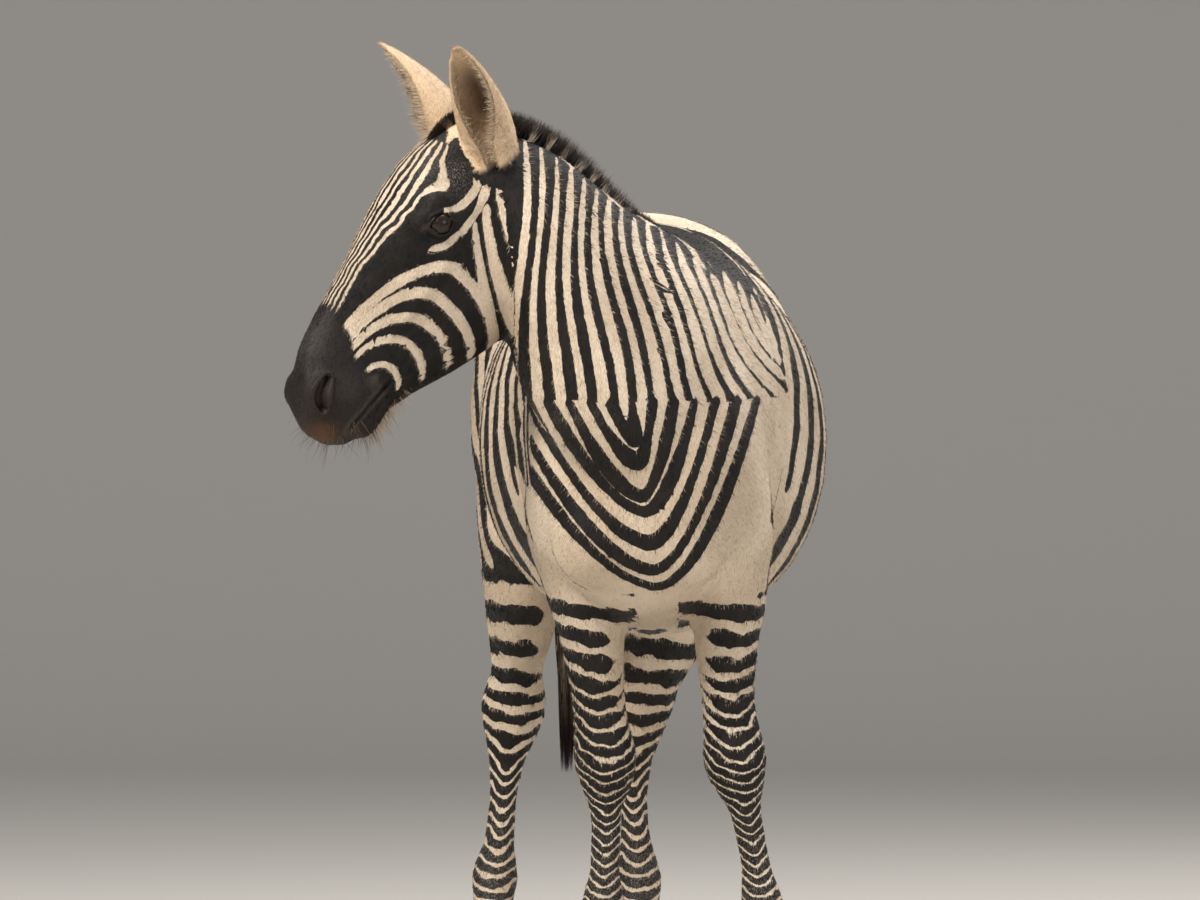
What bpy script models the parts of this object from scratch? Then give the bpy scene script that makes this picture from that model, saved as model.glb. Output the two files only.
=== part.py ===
"""A plains zebra at life size, standing still with its head turned to its right.

Metres, +Z up. The animal faces -Y, so its left side is +X and its right side is -X.
The flesh is lofted from measured sections, joined by voxel remeshes, smoothed, and
parted by thin cuts where a person would name its parts. Eyes, ears, hooves, mane and
tail tuft are solids of their own, set against the flesh with a thin gap.
"""

import math

import bmesh
import bpy
import numpy as np
from mathutils import Matrix, Vector

# --- Driving dimensions ------------------------------------------------------------------

WITHERS = 1.300            # height of the withers above the floor
CROUP = 1.316              # height of the top of the rump
BACK = 1.240               # lowest point of the back
BELLY = 0.618              # clearance under the belly
BARREL_HALF = 0.290        # half the width of the belly at its widest
HAUNCH_HALF = 0.268        # half the width across the hips
HEAD_LENGTH = 0.545        # from the poll to the end of the lips
EAR_WALL = 0.006           # thickness of the sheet of an ear
EYE_RADIUS = 0.0225
MANE_HEIGHT = 0.050        # how far the upright hair stands over the crest
HOOF_TOE = 0.076           # height of the hoof wall at the toe
HOOF_HEEL = 0.036          # height of the hoof wall at the heel
TUFT_TOP = 0.800           # where the long hair of the tail begins
TUFT_TIP = 0.345           # how low the hair of the tail hangs
GAP = 0.0004               # width of every cut, and the room round each set piece

VOXEL = 0.008              # grain of the remeshes that join the flesh
BODY_SMOOTHING = 45        # passes that melt shoulder, neck and thigh into the trunk
FLESH_SMOOTHING = 7        # passes over the whole animal
FLESH_TRIANGLES = 4200     # faces kept for the whole of the flesh
RINGS_BETWEEN = 4          # rings between two measured sections

X, Y, Z = Vector((1, 0, 0)), Vector((0, 1, 0)), Vector((0, 0, 1))
UPRIGHT = (X, Y, Z)

# --- Making and joining shapes -----------------------------------------------------------


def make_collection(name):
    group = bpy.data.collections.new(name)
    bpy.context.scene.collection.children.link(group)
    return group


def make_material(name, colour, roughness):
    material = bpy.data.materials.new(name)
    material.use_nodes = True
    shader = material.node_tree.nodes["Principled BSDF"]
    shader.inputs["Base Color"].default_value = (*colour, 1.0)
    shader.inputs["Roughness"].default_value = roughness
    shader.inputs["Metallic"].default_value = 0.0
    return material


def finish_mesh(name, mesh, group):
    """Store a closed bmesh, faces outward, as a new object of a collection."""
    bmesh.ops.recalc_face_normals(mesh, faces=mesh.faces)
    if mesh.calc_volume(signed=True) < 0:
        bmesh.ops.reverse_faces(mesh, faces=mesh.faces)
    data = bpy.data.meshes.new(name)
    mesh.to_mesh(data)
    mesh.free()
    made = bpy.data.objects.new(name, data)
    group.objects.link(made)
    return made


def filled_in(rows, between):
    """Rows of numbers with more rows put between them along a Catmull-Rom curve."""
    rows = np.array(rows, float)
    padded = np.vstack([2 * rows[0] - rows[1], rows, 2 * rows[-1] - rows[-2]])
    filled = []
    for i in range(len(rows) - 1):
        a, b, c, d = padded[i : i + 4]
        for step in range(between):
            t = step / between
            bend = (2 * a - 5 * b + 4 * c - d) * t**2 + (3 * b - 3 * c + d - a) * t**3
            filled.append(0.5 * (2 * b + (c - a) * t + bend))
    filled.append(rows[-1])
    return np.array(filled)


def loft(name, sections, group, between=RINGS_BETWEEN, sides=28, across=None):
    """A closed skin over sections.

    A section is (top point, bottom point, half width, fullness, lean). Fullness 1 is an
    ellipse and less is boxier. A lean above 0 widens the top and narrows the bottom. The
    width lies square to the run of the sections, or along the direction given as across.
    """
    flat = []
    for top, bottom, width, *rest in sections:
        fullness, lean = (*rest, 1.0, 0.0)[:2] if len(rest) != 1 else (rest[0], 0.0)
        flat.append([*top, *bottom, width, fullness, lean])
    rows = filled_in(flat, between)
    middles = (rows[:, 0:3] + rows[:, 3:6]) / 2
    along = np.gradient(middles, axis=0)
    mesh = bmesh.new()
    rings = []
    for row, middle, direction in zip(rows, middles, along):
        up = (row[0:3] - row[3:6]) / 2
        side = np.cross(direction, up) if across is None else np.array(across)
        side *= row[6] / np.linalg.norm(side)
        ring = []
        for k in range(sides):
            angle = 2 * math.pi * k / sides
            rise = math.copysign(abs(math.cos(angle)) ** row[7], math.cos(angle))
            out = math.copysign(abs(math.sin(angle)) ** row[7], math.sin(angle))
            out *= 1 + row[8] * rise
            ring.append(mesh.verts.new(middle + rise * up + out * side))
        rings.append(ring)
    for low, high in zip(rings, rings[1:]):
        for k in range(sides):
            m = (k + 1) % sides
            mesh.faces.new((low[k], low[m], high[m], high[k]))
    mesh.faces.new(reversed(rings[0]))
    mesh.faces.new(rings[-1])
    return finish_mesh(name, mesh, group)


def ball(name, centre, radii, axes, group, segments=32):
    """An ellipsoid whose three radii lie along the three given axes."""
    mesh = bmesh.new()
    bmesh.ops.create_uvsphere(mesh, u_segments=segments, v_segments=segments // 2, radius=1.0)
    turn = Matrix([Vector(axis).normalized() for axis in axes]).transposed()
    shape = turn @ Matrix.Diagonal(Vector(radii))
    mesh.transform(Matrix.Translation(Vector(centre)) @ shape.to_4x4())
    return finish_mesh(name, mesh, group)


def slab(name, centre, across, tall, half_across, half_tall, group, thick=GAP):
    """A thin box that parts the flesh where it stands, spread along two directions."""
    across, tall = Vector(across).normalized(), Vector(tall).normalized()
    normal = across.cross(tall).normalized()
    tall = normal.cross(across)
    mesh = bmesh.new()
    bmesh.ops.create_cube(mesh, size=2.0)
    turn = Matrix((across, tall, normal)).transposed()
    shape = turn @ Matrix.Diagonal(Vector((half_across, half_tall, thick / 2)))
    mesh.transform(Matrix.Translation(Vector(centre)) @ shape.to_4x4())
    return finish_mesh(name, mesh, group)


def modified(source, name, group):
    """A plain mesh of an object with its modifiers applied. The object is removed."""
    graph = bpy.context.evaluated_depsgraph_get()
    data = bpy.data.meshes.new_from_object(source.evaluated_get(graph), depsgraph=graph)
    bpy.data.objects.remove(source)
    made = bpy.data.objects.new(name, data)
    group.objects.link(made)
    return made


def joined(objects, name, group, smoothing):
    """One smooth closed skin over overlapping objects, which are used up."""
    bpy.ops.object.select_all(action="DESELECT")
    for form in objects:
        form.select_set(True)
    bpy.context.view_layer.objects.active = objects[0]
    bpy.ops.object.join()
    whole = bpy.context.view_layer.objects.active
    remesh = whole.modifiers.new("join", "REMESH")
    remesh.mode = "VOXEL"
    remesh.voxel_size = VOXEL
    smooth = whole.modifiers.new("soften", "SMOOTH")
    smooth.factor = 0.5
    smooth.iterations = smoothing
    return modified(whole, name, group)


def add_boolean(target, operation, cutter):
    """A Boolean with one object, or with all the objects of a collection."""
    boolean = target.modifiers.new(operation.lower(), "BOOLEAN")
    boolean.operation = operation
    if isinstance(cutter, bpy.types.Collection):
        boolean.operand_type = "COLLECTION"
        boolean.collection = cutter
    else:
        boolean.object = cutter
    boolean.solver = "EXACT"


def loose_pieces(source):
    """The separate bodies of an object, each as an object of its own."""
    bpy.ops.object.select_all(action="DESELECT")
    source.select_set(True)
    bpy.context.view_layer.objects.active = source
    bpy.ops.mesh.separate(type="LOOSE")
    return list(bpy.context.selected_objects)


def middle_of(piece):
    corners = np.array([corner[:] for corner in piece.bound_box])
    return Vector((corners.min(axis=0) + corners.max(axis=0)) / 2)


# --- Where the head is -------------------------------------------------------------------

POLL = Vector((-0.3125, -0.290, 1.4637))  # top of the skull, between the ears
HEAD_YAW = math.radians(19)               # from straight right towards the front
HEAD_PITCH = math.radians(57.6)           # nose below the level
HEAD_ROLL = math.radians(-10)             # the forehead leaned towards the front


def head_axes():
    """(towards the muzzle, out of the forehead, out of the left cheek)"""
    heading = Vector((-math.cos(HEAD_YAW), -math.sin(HEAD_YAW), 0))
    nose = heading * math.cos(HEAD_PITCH) - Z * math.sin(HEAD_PITCH)
    brow = heading * math.sin(HEAD_PITCH) + Z * math.cos(HEAD_PITCH)
    roll = Matrix.Rotation(HEAD_ROLL, 3, nose)
    return nose, roll @ brow, roll @ Z.cross(heading)


NOSE, BROW, LEFT = head_axes()


def on_head(along, height, side=0.0):
    """A point of the head: from the poll to the muzzle, out of the brow, and to the left."""
    return POLL + NOSE * along + BROW * height + LEFT * side


# --- The flesh ---------------------------------------------------------------------------

# The spine bends to the right at the neck and at the tail, so x changes along the body.
TRUNK = [
    # y, x, top, bottom, half width, fullness
    (-0.272, -0.008, 0.970, 0.810, 0.062, 1.00),
    (-0.244, -0.004, 1.040, 0.740, 0.124, 1.00),
    (-0.180, 0.002, 1.120, 0.688, 0.170, 0.98),
    (-0.090, 0.008, 1.200, 0.655, 0.192, 0.97),
    (0.010, 0.012, 1.262, 0.640, 0.204, 0.97),
    (0.120, 0.016, WITHERS, 0.628, 0.225, 1.00),
    (0.240, 0.020, 1.286, BELLY, 0.255, 0.97),
    (0.380, 0.023, 1.254, BELLY, 0.280, 0.94),
    (0.520, 0.023, BACK, BELLY, BARREL_HALF, 0.92),
    (0.660, 0.017, 1.254, 0.632, 0.286, 0.88),
    (0.770, 0.004, 1.290, 0.680, 0.269, 0.84),
    (0.870, -0.013, CROUP, 0.755, HAUNCH_HALF, 0.83),
    (0.965, -0.029, 1.308, 0.840, 0.250, 0.86),
    (1.040, -0.042, 1.270, 0.920, 0.212, 0.90),
    (1.080, -0.053, 1.212, 0.990, 0.140, 1.00),
    (1.098, -0.058, 1.165, 1.045, 0.070, 1.00),
]

NECK = [
    # crest point, throat point, half width
    ((0.014, 0.260, 1.240), (0.006, -0.080, 0.690), 0.170),
    ((0.012, 0.140, 1.272), (0.004, -0.212, 0.770), 0.170),
    ((-0.018, 0.020, 1.290), (-0.016, -0.268, 0.860), 0.155),
    ((-0.068, -0.075, 1.325), (-0.083, -0.312, 0.925), 0.130),
    ((-0.116, -0.145, 1.378), (-0.138, -0.322, 0.990), 0.110),
    ((-0.165, -0.208, 1.422), (-0.180, -0.305, 1.070), 0.096),
    ((-0.225, -0.255, 1.448), (-0.206, -0.262, 1.145), 0.086),
    ((-0.285, -0.278, 1.450), (-0.245, -0.258, 1.205), 0.078),
]

HEAD = [
    # from poll, brow line, jaw line, half width, fullness, lean
    (-0.030, -0.050, -0.120, 0.035, 1.00, 0.00),
    (-0.012, -0.024, -0.165, 0.060, 1.00, 0.00),
    (0.040, 0.002, -0.220, 0.074, 0.92, 0.08),
    (0.100, 0.017, -0.262, 0.082, 0.84, 0.15),
    (0.165, 0.019, -0.288, 0.084, 0.80, 0.20),
    (0.225, 0.017, -0.288, 0.076, 0.82, 0.14),
    (0.285, 0.016, -0.267, 0.064, 0.86, 0.04),
    (0.345, 0.015, -0.235, 0.054, 0.90, -0.04),
    (0.405, 0.012, -0.198, 0.049, 0.92, -0.06),
    (0.455, 0.001, -0.174, 0.051, 0.92, -0.04),
    (0.498, -0.024, -0.160, 0.050, 0.92, 0.00),
    (0.530, -0.047, -0.145, 0.042, 0.95, 0.00),
    (HEAD_LENGTH, -0.076, -0.120, 0.022, 1.00, 0.00),
]

FORE_LEG = [
    # height, front y, back y, half width
    (0.860, -0.120, 0.150, 0.070),
    (0.780, -0.110, 0.165, 0.076),
    (0.700, -0.072, 0.145, 0.066),
    (0.610, -0.040, 0.104, 0.051),
    (0.520, -0.022, 0.078, 0.044),
    (0.465, -0.019, 0.072, 0.048),
    (0.420, -0.021, 0.075, 0.053),
    (0.380, -0.013, 0.064, 0.041),
    (0.345, -0.003, 0.058, 0.029),
    (0.290, 0.002, 0.058, 0.0265),
    (0.240, 0.001, 0.062, 0.0285),
    (0.190, -0.007, 0.076, 0.0375),
    (0.160, -0.019, 0.070, 0.035),
    (0.125, -0.040, 0.042, 0.032),
    (0.095, -0.058, 0.034, 0.035),
    (0.060, -0.074, 0.032, 0.041),
    (0.015, -0.085, 0.018, 0.040),
]

HIND_LEG = [
    (0.980, 0.770, 1.085, 0.095),
    (0.880, 0.745, 1.108, 0.100),
    (0.790, 0.738, 1.105, 0.096),
    (0.710, 0.758, 1.085, 0.080),
    (0.640, 0.803, 1.058, 0.064),
    (0.580, 0.858, 1.050, 0.051),
    (0.535, 0.900, 1.068, 0.044),
    (0.505, 0.925, 1.088, 0.050),
    (0.470, 0.941, 1.086, 0.055),
    (0.430, 0.955, 1.062, 0.047),
    (0.385, 0.967, 1.044, 0.033),
    (0.330, 0.972, 1.038, 0.0265),
    (0.275, 0.972, 1.038, 0.0260),
    (0.230, 0.968, 1.042, 0.031),
    (0.188, 0.958, 1.052, 0.0410),
    (0.160, 0.946, 1.047, 0.038),
    (0.125, 0.922, 1.014, 0.033),
    (0.095, 0.905, 1.004, 0.036),
    (0.060, 0.890, 1.000, 0.041),
    (0.015, 0.878, 0.986, 0.040),
]

# Each leg's middle as (height, x, added half width): the legs lean, so the feet stand to
# one side of the body.
LEG_LINES = {
    "fore_right": [(0.86, -0.118, 0), (0.70, -0.088, 0), (0.61, -0.076, 0), (0.505, -0.065, 0),
                   (0.42, -0.055, 0), (0.29, -0.055, 0), (0.20, -0.059, 0), (0.0, -0.064, 0)],
    "fore_left": [(0.86, 0.140, 0), (0.70, 0.140, 0), (0.60, 0.139, 0), (0.505, 0.144, 0),
                  (0.42, 0.155, 0), (0.32, 0.176, 0), (0.20, 0.197, 0), (0.0, 0.226, 0)],
    "hind_right": [(0.98, -0.165, 0), (0.80, -0.178, 0), (0.64, -0.196, 0), (0.54, -0.205, 0),
                   (0.48, -0.210, 0), (0.38, -0.223, 0), (0.28, -0.2315, 0), (0.188, -0.2425, 0),
                   (0.0, -0.255, 0)],
    "hind_left": [(0.98, 0.105, 0), (0.80, 0.088, 0.004), (0.70, 0.068, 0.012), (0.62, 0.049, 0.017),
                  (0.56, 0.034, 0.014), (0.48, 0.000, 0.003), (0.42, -0.006, 0.002),
                  (0.36, -0.009, 0), (0.28, -0.006, 0), (0.188, 0.000, 0), (0.0, 0.016, 0)],
}


def leg_middle(leg, height):
    """(x, added half width) of a leg at a height."""
    line = sorted(LEG_LINES[leg])
    heights = [row[0] for row in line]
    return [float(np.interp(height, heights, [row[i] for row in line])) for i in (1, 2)]


def leg_profile(leg):
    return FORE_LEG if leg.startswith("fore") else HIND_LEG


def trunk_and_neck(group):
    """Chest, barrel and rump, with the neck and the muscles that swell out of them."""
    sections = [((x, y, top), (x, y, low), wide, full) for y, x, top, low, wide, full in TRUNK]
    forms = [loft("trunk_form", sections, group), loft("neck_form", NECK, group)]
    for side in (1, -1):
        swells = [
            # centre, radii
            ((0.014 + side * 0.112, 0.030, 1.010), (0.070, 0.115, 0.200)),    # shoulder blade
            ((0.014 + side * 0.122, -0.050, 0.845), (0.078, 0.130, 0.120)),   # upper arm
            ((-0.002 + side * 0.070, -0.178, 0.800), (0.078, 0.080, 0.100)),  # breast
            ((-0.030 + side * 0.145, 0.905, 0.960), (0.112, 0.175, 0.230)),   # thigh
        ]
        for k, (centre, radii) in enumerate(swells):
            forms.append(ball(f"swell_{side}_{k}", centre, radii, UPRIGHT, group))
    return joined(forms, "body_form", group, BODY_SMOOTHING)


def head_forms(group):
    """Skull, jaw and muzzle, with brows, cheeks, nostrils, lips and chin."""
    sections = [
        (on_head(along, brow), on_head(along, jaw), wide, full, lean)
        for along, brow, jaw, wide, full, lean in HEAD
    ]
    forms = [loft("head_form", sections, group)]
    axes = (NOSE, BROW, LEFT)
    for side in (1, -1):
        swells = [
            # centre as (along, height, side), radii
            ((0.158, -0.030, 0.066), (0.048, 0.026, 0.034)),   # brow over the eye
            ((0.164, -0.060, 0.058), (0.044, 0.034, 0.028)),   # rim round the eye
            ((0.175, -0.175, 0.036), (0.080, 0.085, 0.040)),   # cheek
            ((0.484, -0.052, 0.030), (0.040, 0.036, 0.027)),   # nostril wing
        ]
        for k, (centre, radii) in enumerate(swells):
            place = on_head(centre[0], centre[1], side * centre[2])
            forms.append(ball(f"face_{side}_{k}", place, radii, axes, group))
    forms.append(ball("chin", on_head(0.470, -0.150), (0.040, 0.030, 0.034), axes, group))
    forms.append(ball("lip", on_head(0.512, -0.088), (0.034, 0.042, 0.042), axes, group))
    return forms


def leg_forms(group):
    forms = []
    for leg in LEG_LINES:
        sections = []
        for height, front, back, wide in leg_profile(leg):
            x, more = leg_middle(leg, height)
            sections.append(((x, front, height), (x, back, height), wide + more))
        forms.append(loft(f"{leg}_form", sections, group, sides=24))
    return forms


DOCK = [
    # back point, front point, half width of the fleshy tail
    ((-0.052, 1.040, 1.235), (-0.052, 1.060, 1.140), 0.040),
    ((-0.058, 1.105, 1.215), (-0.058, 1.092, 1.130), 0.037),
    ((-0.066, 1.160, 1.168), (-0.066, 1.116, 1.114), 0.032),
    ((-0.076, 1.182, 1.090), (-0.076, 1.136, 1.080), 0.028),
    ((-0.090, 1.184, 1.000), (-0.090, 1.140, 1.000), 0.025),
    ((-0.104, 1.180, 0.900), (-0.104, 1.140, 0.900), 0.023),
    ((-0.114, 1.172, TUFT_TOP), (-0.114, 1.136, TUFT_TOP), 0.021),
    ((-0.117, 1.170, TUFT_TOP - 0.03), (-0.117, 1.138, TUFT_TOP - 0.03), 0.020),
]


def make_flesh(group):
    body = trunk_and_neck(group)
    forms = [body, *head_forms(group), *leg_forms(group)]
    forms.append(loft("dock_form", DOCK, group, sides=20))
    flesh = joined(forms, "flesh", group, FLESH_SMOOTHING)
    split = flesh.modifiers.new("split", "TRIANGULATE")
    split.min_vertices = 4
    thin = flesh.modifiers.new("thin", "DECIMATE")
    thin.ratio = FLESH_TRIANGLES / sum(len(face.vertices) - 2 for face in flesh.data.polygons)
    thin.use_collapse_triangulate = True
    flesh = modified(flesh, "flesh", group)
    return flesh


# --- Where the flesh is parted -----------------------------------------------------------

LEG_ARCHES = {
    # how far outside the leg's line, middle y, height of the arch's foot, radii x, y, z
    "fore_right": (0.020, 0.025, 0.690, 0.108, 0.180, 0.180),
    "fore_left": (0.020, 0.025, 0.690, 0.112, 0.180, 0.180),
    "hind_right": (0.018, 0.925, 0.770, 0.150, 0.225, 0.225),
    "hind_left": (0.050, 0.925, 0.770, 0.145, 0.225, 0.225),
}
SHIN_CUTS = {"fore": (0.368, 0.028), "hind": (0.412, 1.008)}   # height, middle y
NECK_HEAD_CUT = (Vector((-0.235, -0.268, 1.500)), Vector((-0.196, -0.200, 1.060)))
NECK_HEAD_ACROSS = Vector((0.12, -0.99, -0.03))
NECK_TRUNK_CUT = (Vector((0.0, 0.085, 1.300)), Vector((0.0, -0.275, 0.770)))


def leg_arch(leg, group):
    """A thin bell-shaped shell whose top arches through the shoulder or the thigh.

    Below its foot the bell follows the lean of the leg and stands clear of it.
    """
    outside, middle, foot, *radii = LEG_ARCHES[leg]
    side = 1 if leg.endswith("left") else -1
    floor_drop = foot + 0.2
    x = leg_middle(leg, foot)[0] + side * outside
    mesh = bmesh.new()
    bmesh.ops.create_uvsphere(mesh, u_segments=14, v_segments=8, radius=1.0)
    for vertex in mesh.verts:
        px, py, pz = vertex.co
        if pz < 0:
            spread = 1.0 / max(math.sqrt(px * px + py * py), 0.35)
            height = foot + pz * floor_drop
            lean = leg_middle(leg, max(height, 0.0))[0] - leg_middle(leg, foot)[0]
            vertex.co = (x + lean + px * spread * radii[0], middle + py * spread * radii[1], height)
        else:
            vertex.co = (x + px * radii[0], middle + py * radii[1], foot + pz * radii[2])
    bell = finish_mesh(f"arch_{leg}", mesh, group)
    wall = bell.modifiers.new("wall", "SOLIDIFY")
    wall.thickness = GAP
    wall.offset = 0.0
    return modified(bell, f"arch_{leg}", group)


def make_cutters(group):
    top, bottom = NECK_HEAD_CUT
    slab("cut_head", (top + bottom) / 2, NECK_HEAD_ACROSS, top - bottom, 0.17, 0.300, group)
    top, bottom = NECK_TRUNK_CUT
    slab("cut_neck", (top + bottom) / 2, X, top - bottom, 0.30, 0.370, group)
    slab("cut_tail", (-0.062, 1.124, 1.155), X, Z, 0.060, 0.105, group)
    for leg in LEG_LINES:
        leg_arch(leg, group)
        height, y = SHIN_CUTS[leg[:4]]
        x = leg_middle(leg, height)[0]
        slab(f"cut_shin_{leg}", (x, y, height), X, Y, 0.085, 0.090, group)
        hoof_room(leg, group)
    for side in (1, -1):
        place = eye_place(side)
        ball(f"socket_{side}", place, [EYE_RADIUS + GAP] * 3, UPRIGHT, group, 12)
    floor_of_tail = ((-0.116, 1.154, TUFT_TOP - 0.05 + GAP), X, Y, 0.05, 0.05)
    slab("cut_tuft", *floor_of_tail, group, thick=0.1)


def part_flesh(flesh, cutters, group):
    """The flesh as named pieces, parted by all the cutters at once."""
    add_boolean(flesh, "DIFFERENCE", cutters)
    cut = modified(flesh, "cut_flesh", group)
    landmarks = {
        "head": on_head(0.25, -0.13),
        "neck": Vector((-0.110, -0.130, 1.130)),
        "trunk": Vector((0.0, 0.430, 0.970)),
        "tail": Vector((-0.090, 1.130, 1.000)),
    }
    for leg in LEG_LINES:
        shin, y = SHIN_CUTS[leg[:4]]
        for tag, height in (("upper", 0.620), ("lower", 0.220)):
            landmarks[f"leg_{leg}_{tag}"] = Vector((leg_middle(leg, height)[0], y, height))
    pieces = {}
    for piece in loose_pieces(cut):
        middle = middle_of(piece)
        name = min(landmarks, key=lambda key: (landmarks[key] - middle).length)
        if name in pieces:
            raise ValueError(f"the cuts left two pieces near {name}")
        piece.name = name
        piece.data.name = name
        pieces[name] = piece
    return pieces


# --- Set pieces --------------------------------------------------------------------------


def eye_place(side):
    return on_head(0.161, -0.050, side * 0.0790)


def hoof_lines(leg):
    """(toe, heel) of the coronet and (toe, heel) of the sole, in the leg's middle plane."""
    y = -0.022 if leg.startswith("fore") else 0.942
    top_x = leg_middle(leg, HOOF_TOE)[0]
    sole_x = leg_middle(leg, 0.0)[0]
    coronet = Vector((top_x, y - 0.056, HOOF_TOE)), Vector((top_x, y + 0.056, HOOF_HEEL))
    sole = Vector((sole_x, y - 0.083, 0.0)), Vector((sole_x, y + 0.046, 0.0))
    return coronet, sole


def hoof_room(leg, group):
    """The block below the coronet, which takes the flesh out of the hoof's room."""
    (toe, heel), _ = hoof_lines(leg)
    slope = (toe - heel).normalized()
    down = slope.cross(X).normalized()
    if down.z > 0:
        down.negate()
    middle = (toe + heel) / 2 - down * GAP + down * 0.060
    slab(f"room_{leg}", middle, X, slope, 0.080, 0.095, group, thick=0.120)


def hoof(leg, group):
    """One hoof: a sloping wall from a round sole on the floor to the coronet."""
    (toe, heel), (sole_toe, sole_heel) = hoof_lines(leg)
    wide = 0.047 if leg.startswith("fore") else 0.044
    sections = []
    for t in (0.0, 0.06, 1.0):
        front = sole_toe.lerp(toe, t)
        back = sole_heel.lerp(heel, t)
        half = wide + (0.041 - wide) * t
        half -= 0.002 * (t == 0.0)
        sections.append((front, back, half, 0.93, 0.06))
    made = loft(f"hoof_{leg}", sections, group, between=1, sides=14, across=X)
    for vertex in made.data.vertices:
        if vertex.co.z < 1e-5:
            vertex.co.z = 0.0
    return made


EARS = {
    # root, tip and where the cup opens, all as (along, height, side)
    "ear_left": ((0.020, -0.092, 0.057), (-0.078, 0.098, 0.114), (0.62, 0.0, 0.62)),
    "ear_right": ((0.022, -0.090, -0.058), (-0.056, 0.108, -0.120), (0.80, 0.0, -0.02)),
}
# along the ear: half width, and how far the edges of the cup wrap round, in degrees
EAR_CUP = [
    (0.00, 0.040, 172), (0.20, 0.043, 170), (0.36, 0.042, 152), (0.54, 0.036, 124),
    (0.72, 0.0275, 104), (0.87, 0.0180, 95), (0.96, 0.0090, 92), (1.00, 0.0035, 90),
]


def ear(name, group):
    """A cupped ear: a curved sheet, rolled at its root and open in front, given a wall."""
    root, tip, facing = EARS[name]
    root, tip = on_head(*root), on_head(*tip)
    axis = (tip - root).normalized()
    opening = NOSE * facing[0] + BROW * facing[1] + LEFT * facing[2]
    opening = (opening - axis * opening.dot(axis)).normalized()
    sideways = axis.cross(opening)
    across = 7
    mesh = bmesh.new()
    rows = []
    for t, half, wrap in EAR_CUP:
        turn = math.radians(wrap)
        middle = root.lerp(tip, t) - opening * 0.012 * math.sin(math.pi * t)
        deep = half * (0.62 + 0.38 * (1 - t))
        row = []
        for k in range(across):
            angle = turn * (2 * k / (across - 1) - 1)
            place = middle + sideways * half * math.sin(angle) - opening * deep * math.cos(angle)
            row.append(mesh.verts.new(place))
        rows.append(row)
    for low, high in zip(rows, rows[1:]):
        for k in range(across - 1):
            mesh.faces.new((low[k], low[k + 1], high[k + 1], high[k]))
    sheet = finish_mesh(name, mesh, group)
    wall = sheet.modifiers.new("wall", "SOLIDIFY")
    wall.thickness = EAR_WALL
    wall.offset = 0.0
    wall.use_quality_normals = True
    return modified(sheet, name, group)


MANE = [
    # points of the crest, with the height and half width of the hair over it
    (on_head(0.062, -0.002), 0.010, 0.012),
    (on_head(0.030, -0.004), 0.022, 0.012),
    (on_head(-0.006, -0.026), 0.036, 0.012),
    (Vector((-0.262, -0.270, 1.437)), 0.038, 0.013),
    (Vector((-0.215, -0.248, 1.430)), 0.040, 0.018),
    (Vector((-0.160, -0.205, 1.403)), 0.046, 0.018),
    (Vector((-0.114, -0.142, 1.362)), MANE_HEIGHT, 0.018),
    (Vector((-0.068, -0.072, 1.314)), MANE_HEIGHT, 0.017),
    (Vector((-0.022, 0.012, 1.280)), 0.040, 0.015),
    (Vector((0.006, 0.090, 1.276)), 0.026, 0.013),
    (Vector((0.014, 0.150, 1.282)), 0.010, 0.009),
]


def mane(group):
    """The upright hair from the brow over the poll and down the crest to the withers."""
    points = [row[0] for row in MANE]
    sections = []
    for k, (point, height, half) in enumerate(MANE):
        ahead = points[max(k - 1, 0)]
        behind = points[min(k + 1, len(points) - 1)]
        run = (behind - ahead).normalized()
        up = BROW if k < 3 else Z
        up = (up - run * up.dot(run)).normalized()
        sections.append((point + up * (height + 0.012), point - up * 0.020, half, 0.75, -0.15))
    return loft("mane", sections, group, between=1, sides=8)


def tail_tuft(group):
    """The long hair at the end of the tail, hanging straight and closing to a tip."""
    low = TUFT_TIP
    span = TUFT_TOP - low
    rows = [
        # part of the way down, x, y, half depth, half width
        (0.00, -0.114, 1.154, 0.0180, 0.0205),
        (0.12, -0.116, 1.154, 0.0225, 0.0220),
        (0.35, -0.119, 1.154, 0.0250, 0.0220),
        (0.62, -0.121, 1.156, 0.0220, 0.0190),
        (0.84, -0.122, 1.158, 0.0150, 0.0130),
        (0.96, -0.122, 1.159, 0.0070, 0.0065),
        (1.00, -0.122, 1.159, 0.0025, 0.0025),
    ]
    sections = []
    for part, x, y, deep, wide in rows:
        z = TUFT_TOP - part * span
        sections.append(((x, y - deep, z), (x, y + deep, z), wide))
    return loft("tail_tuft", sections, group, between=1, sides=12, across=X)


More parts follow.
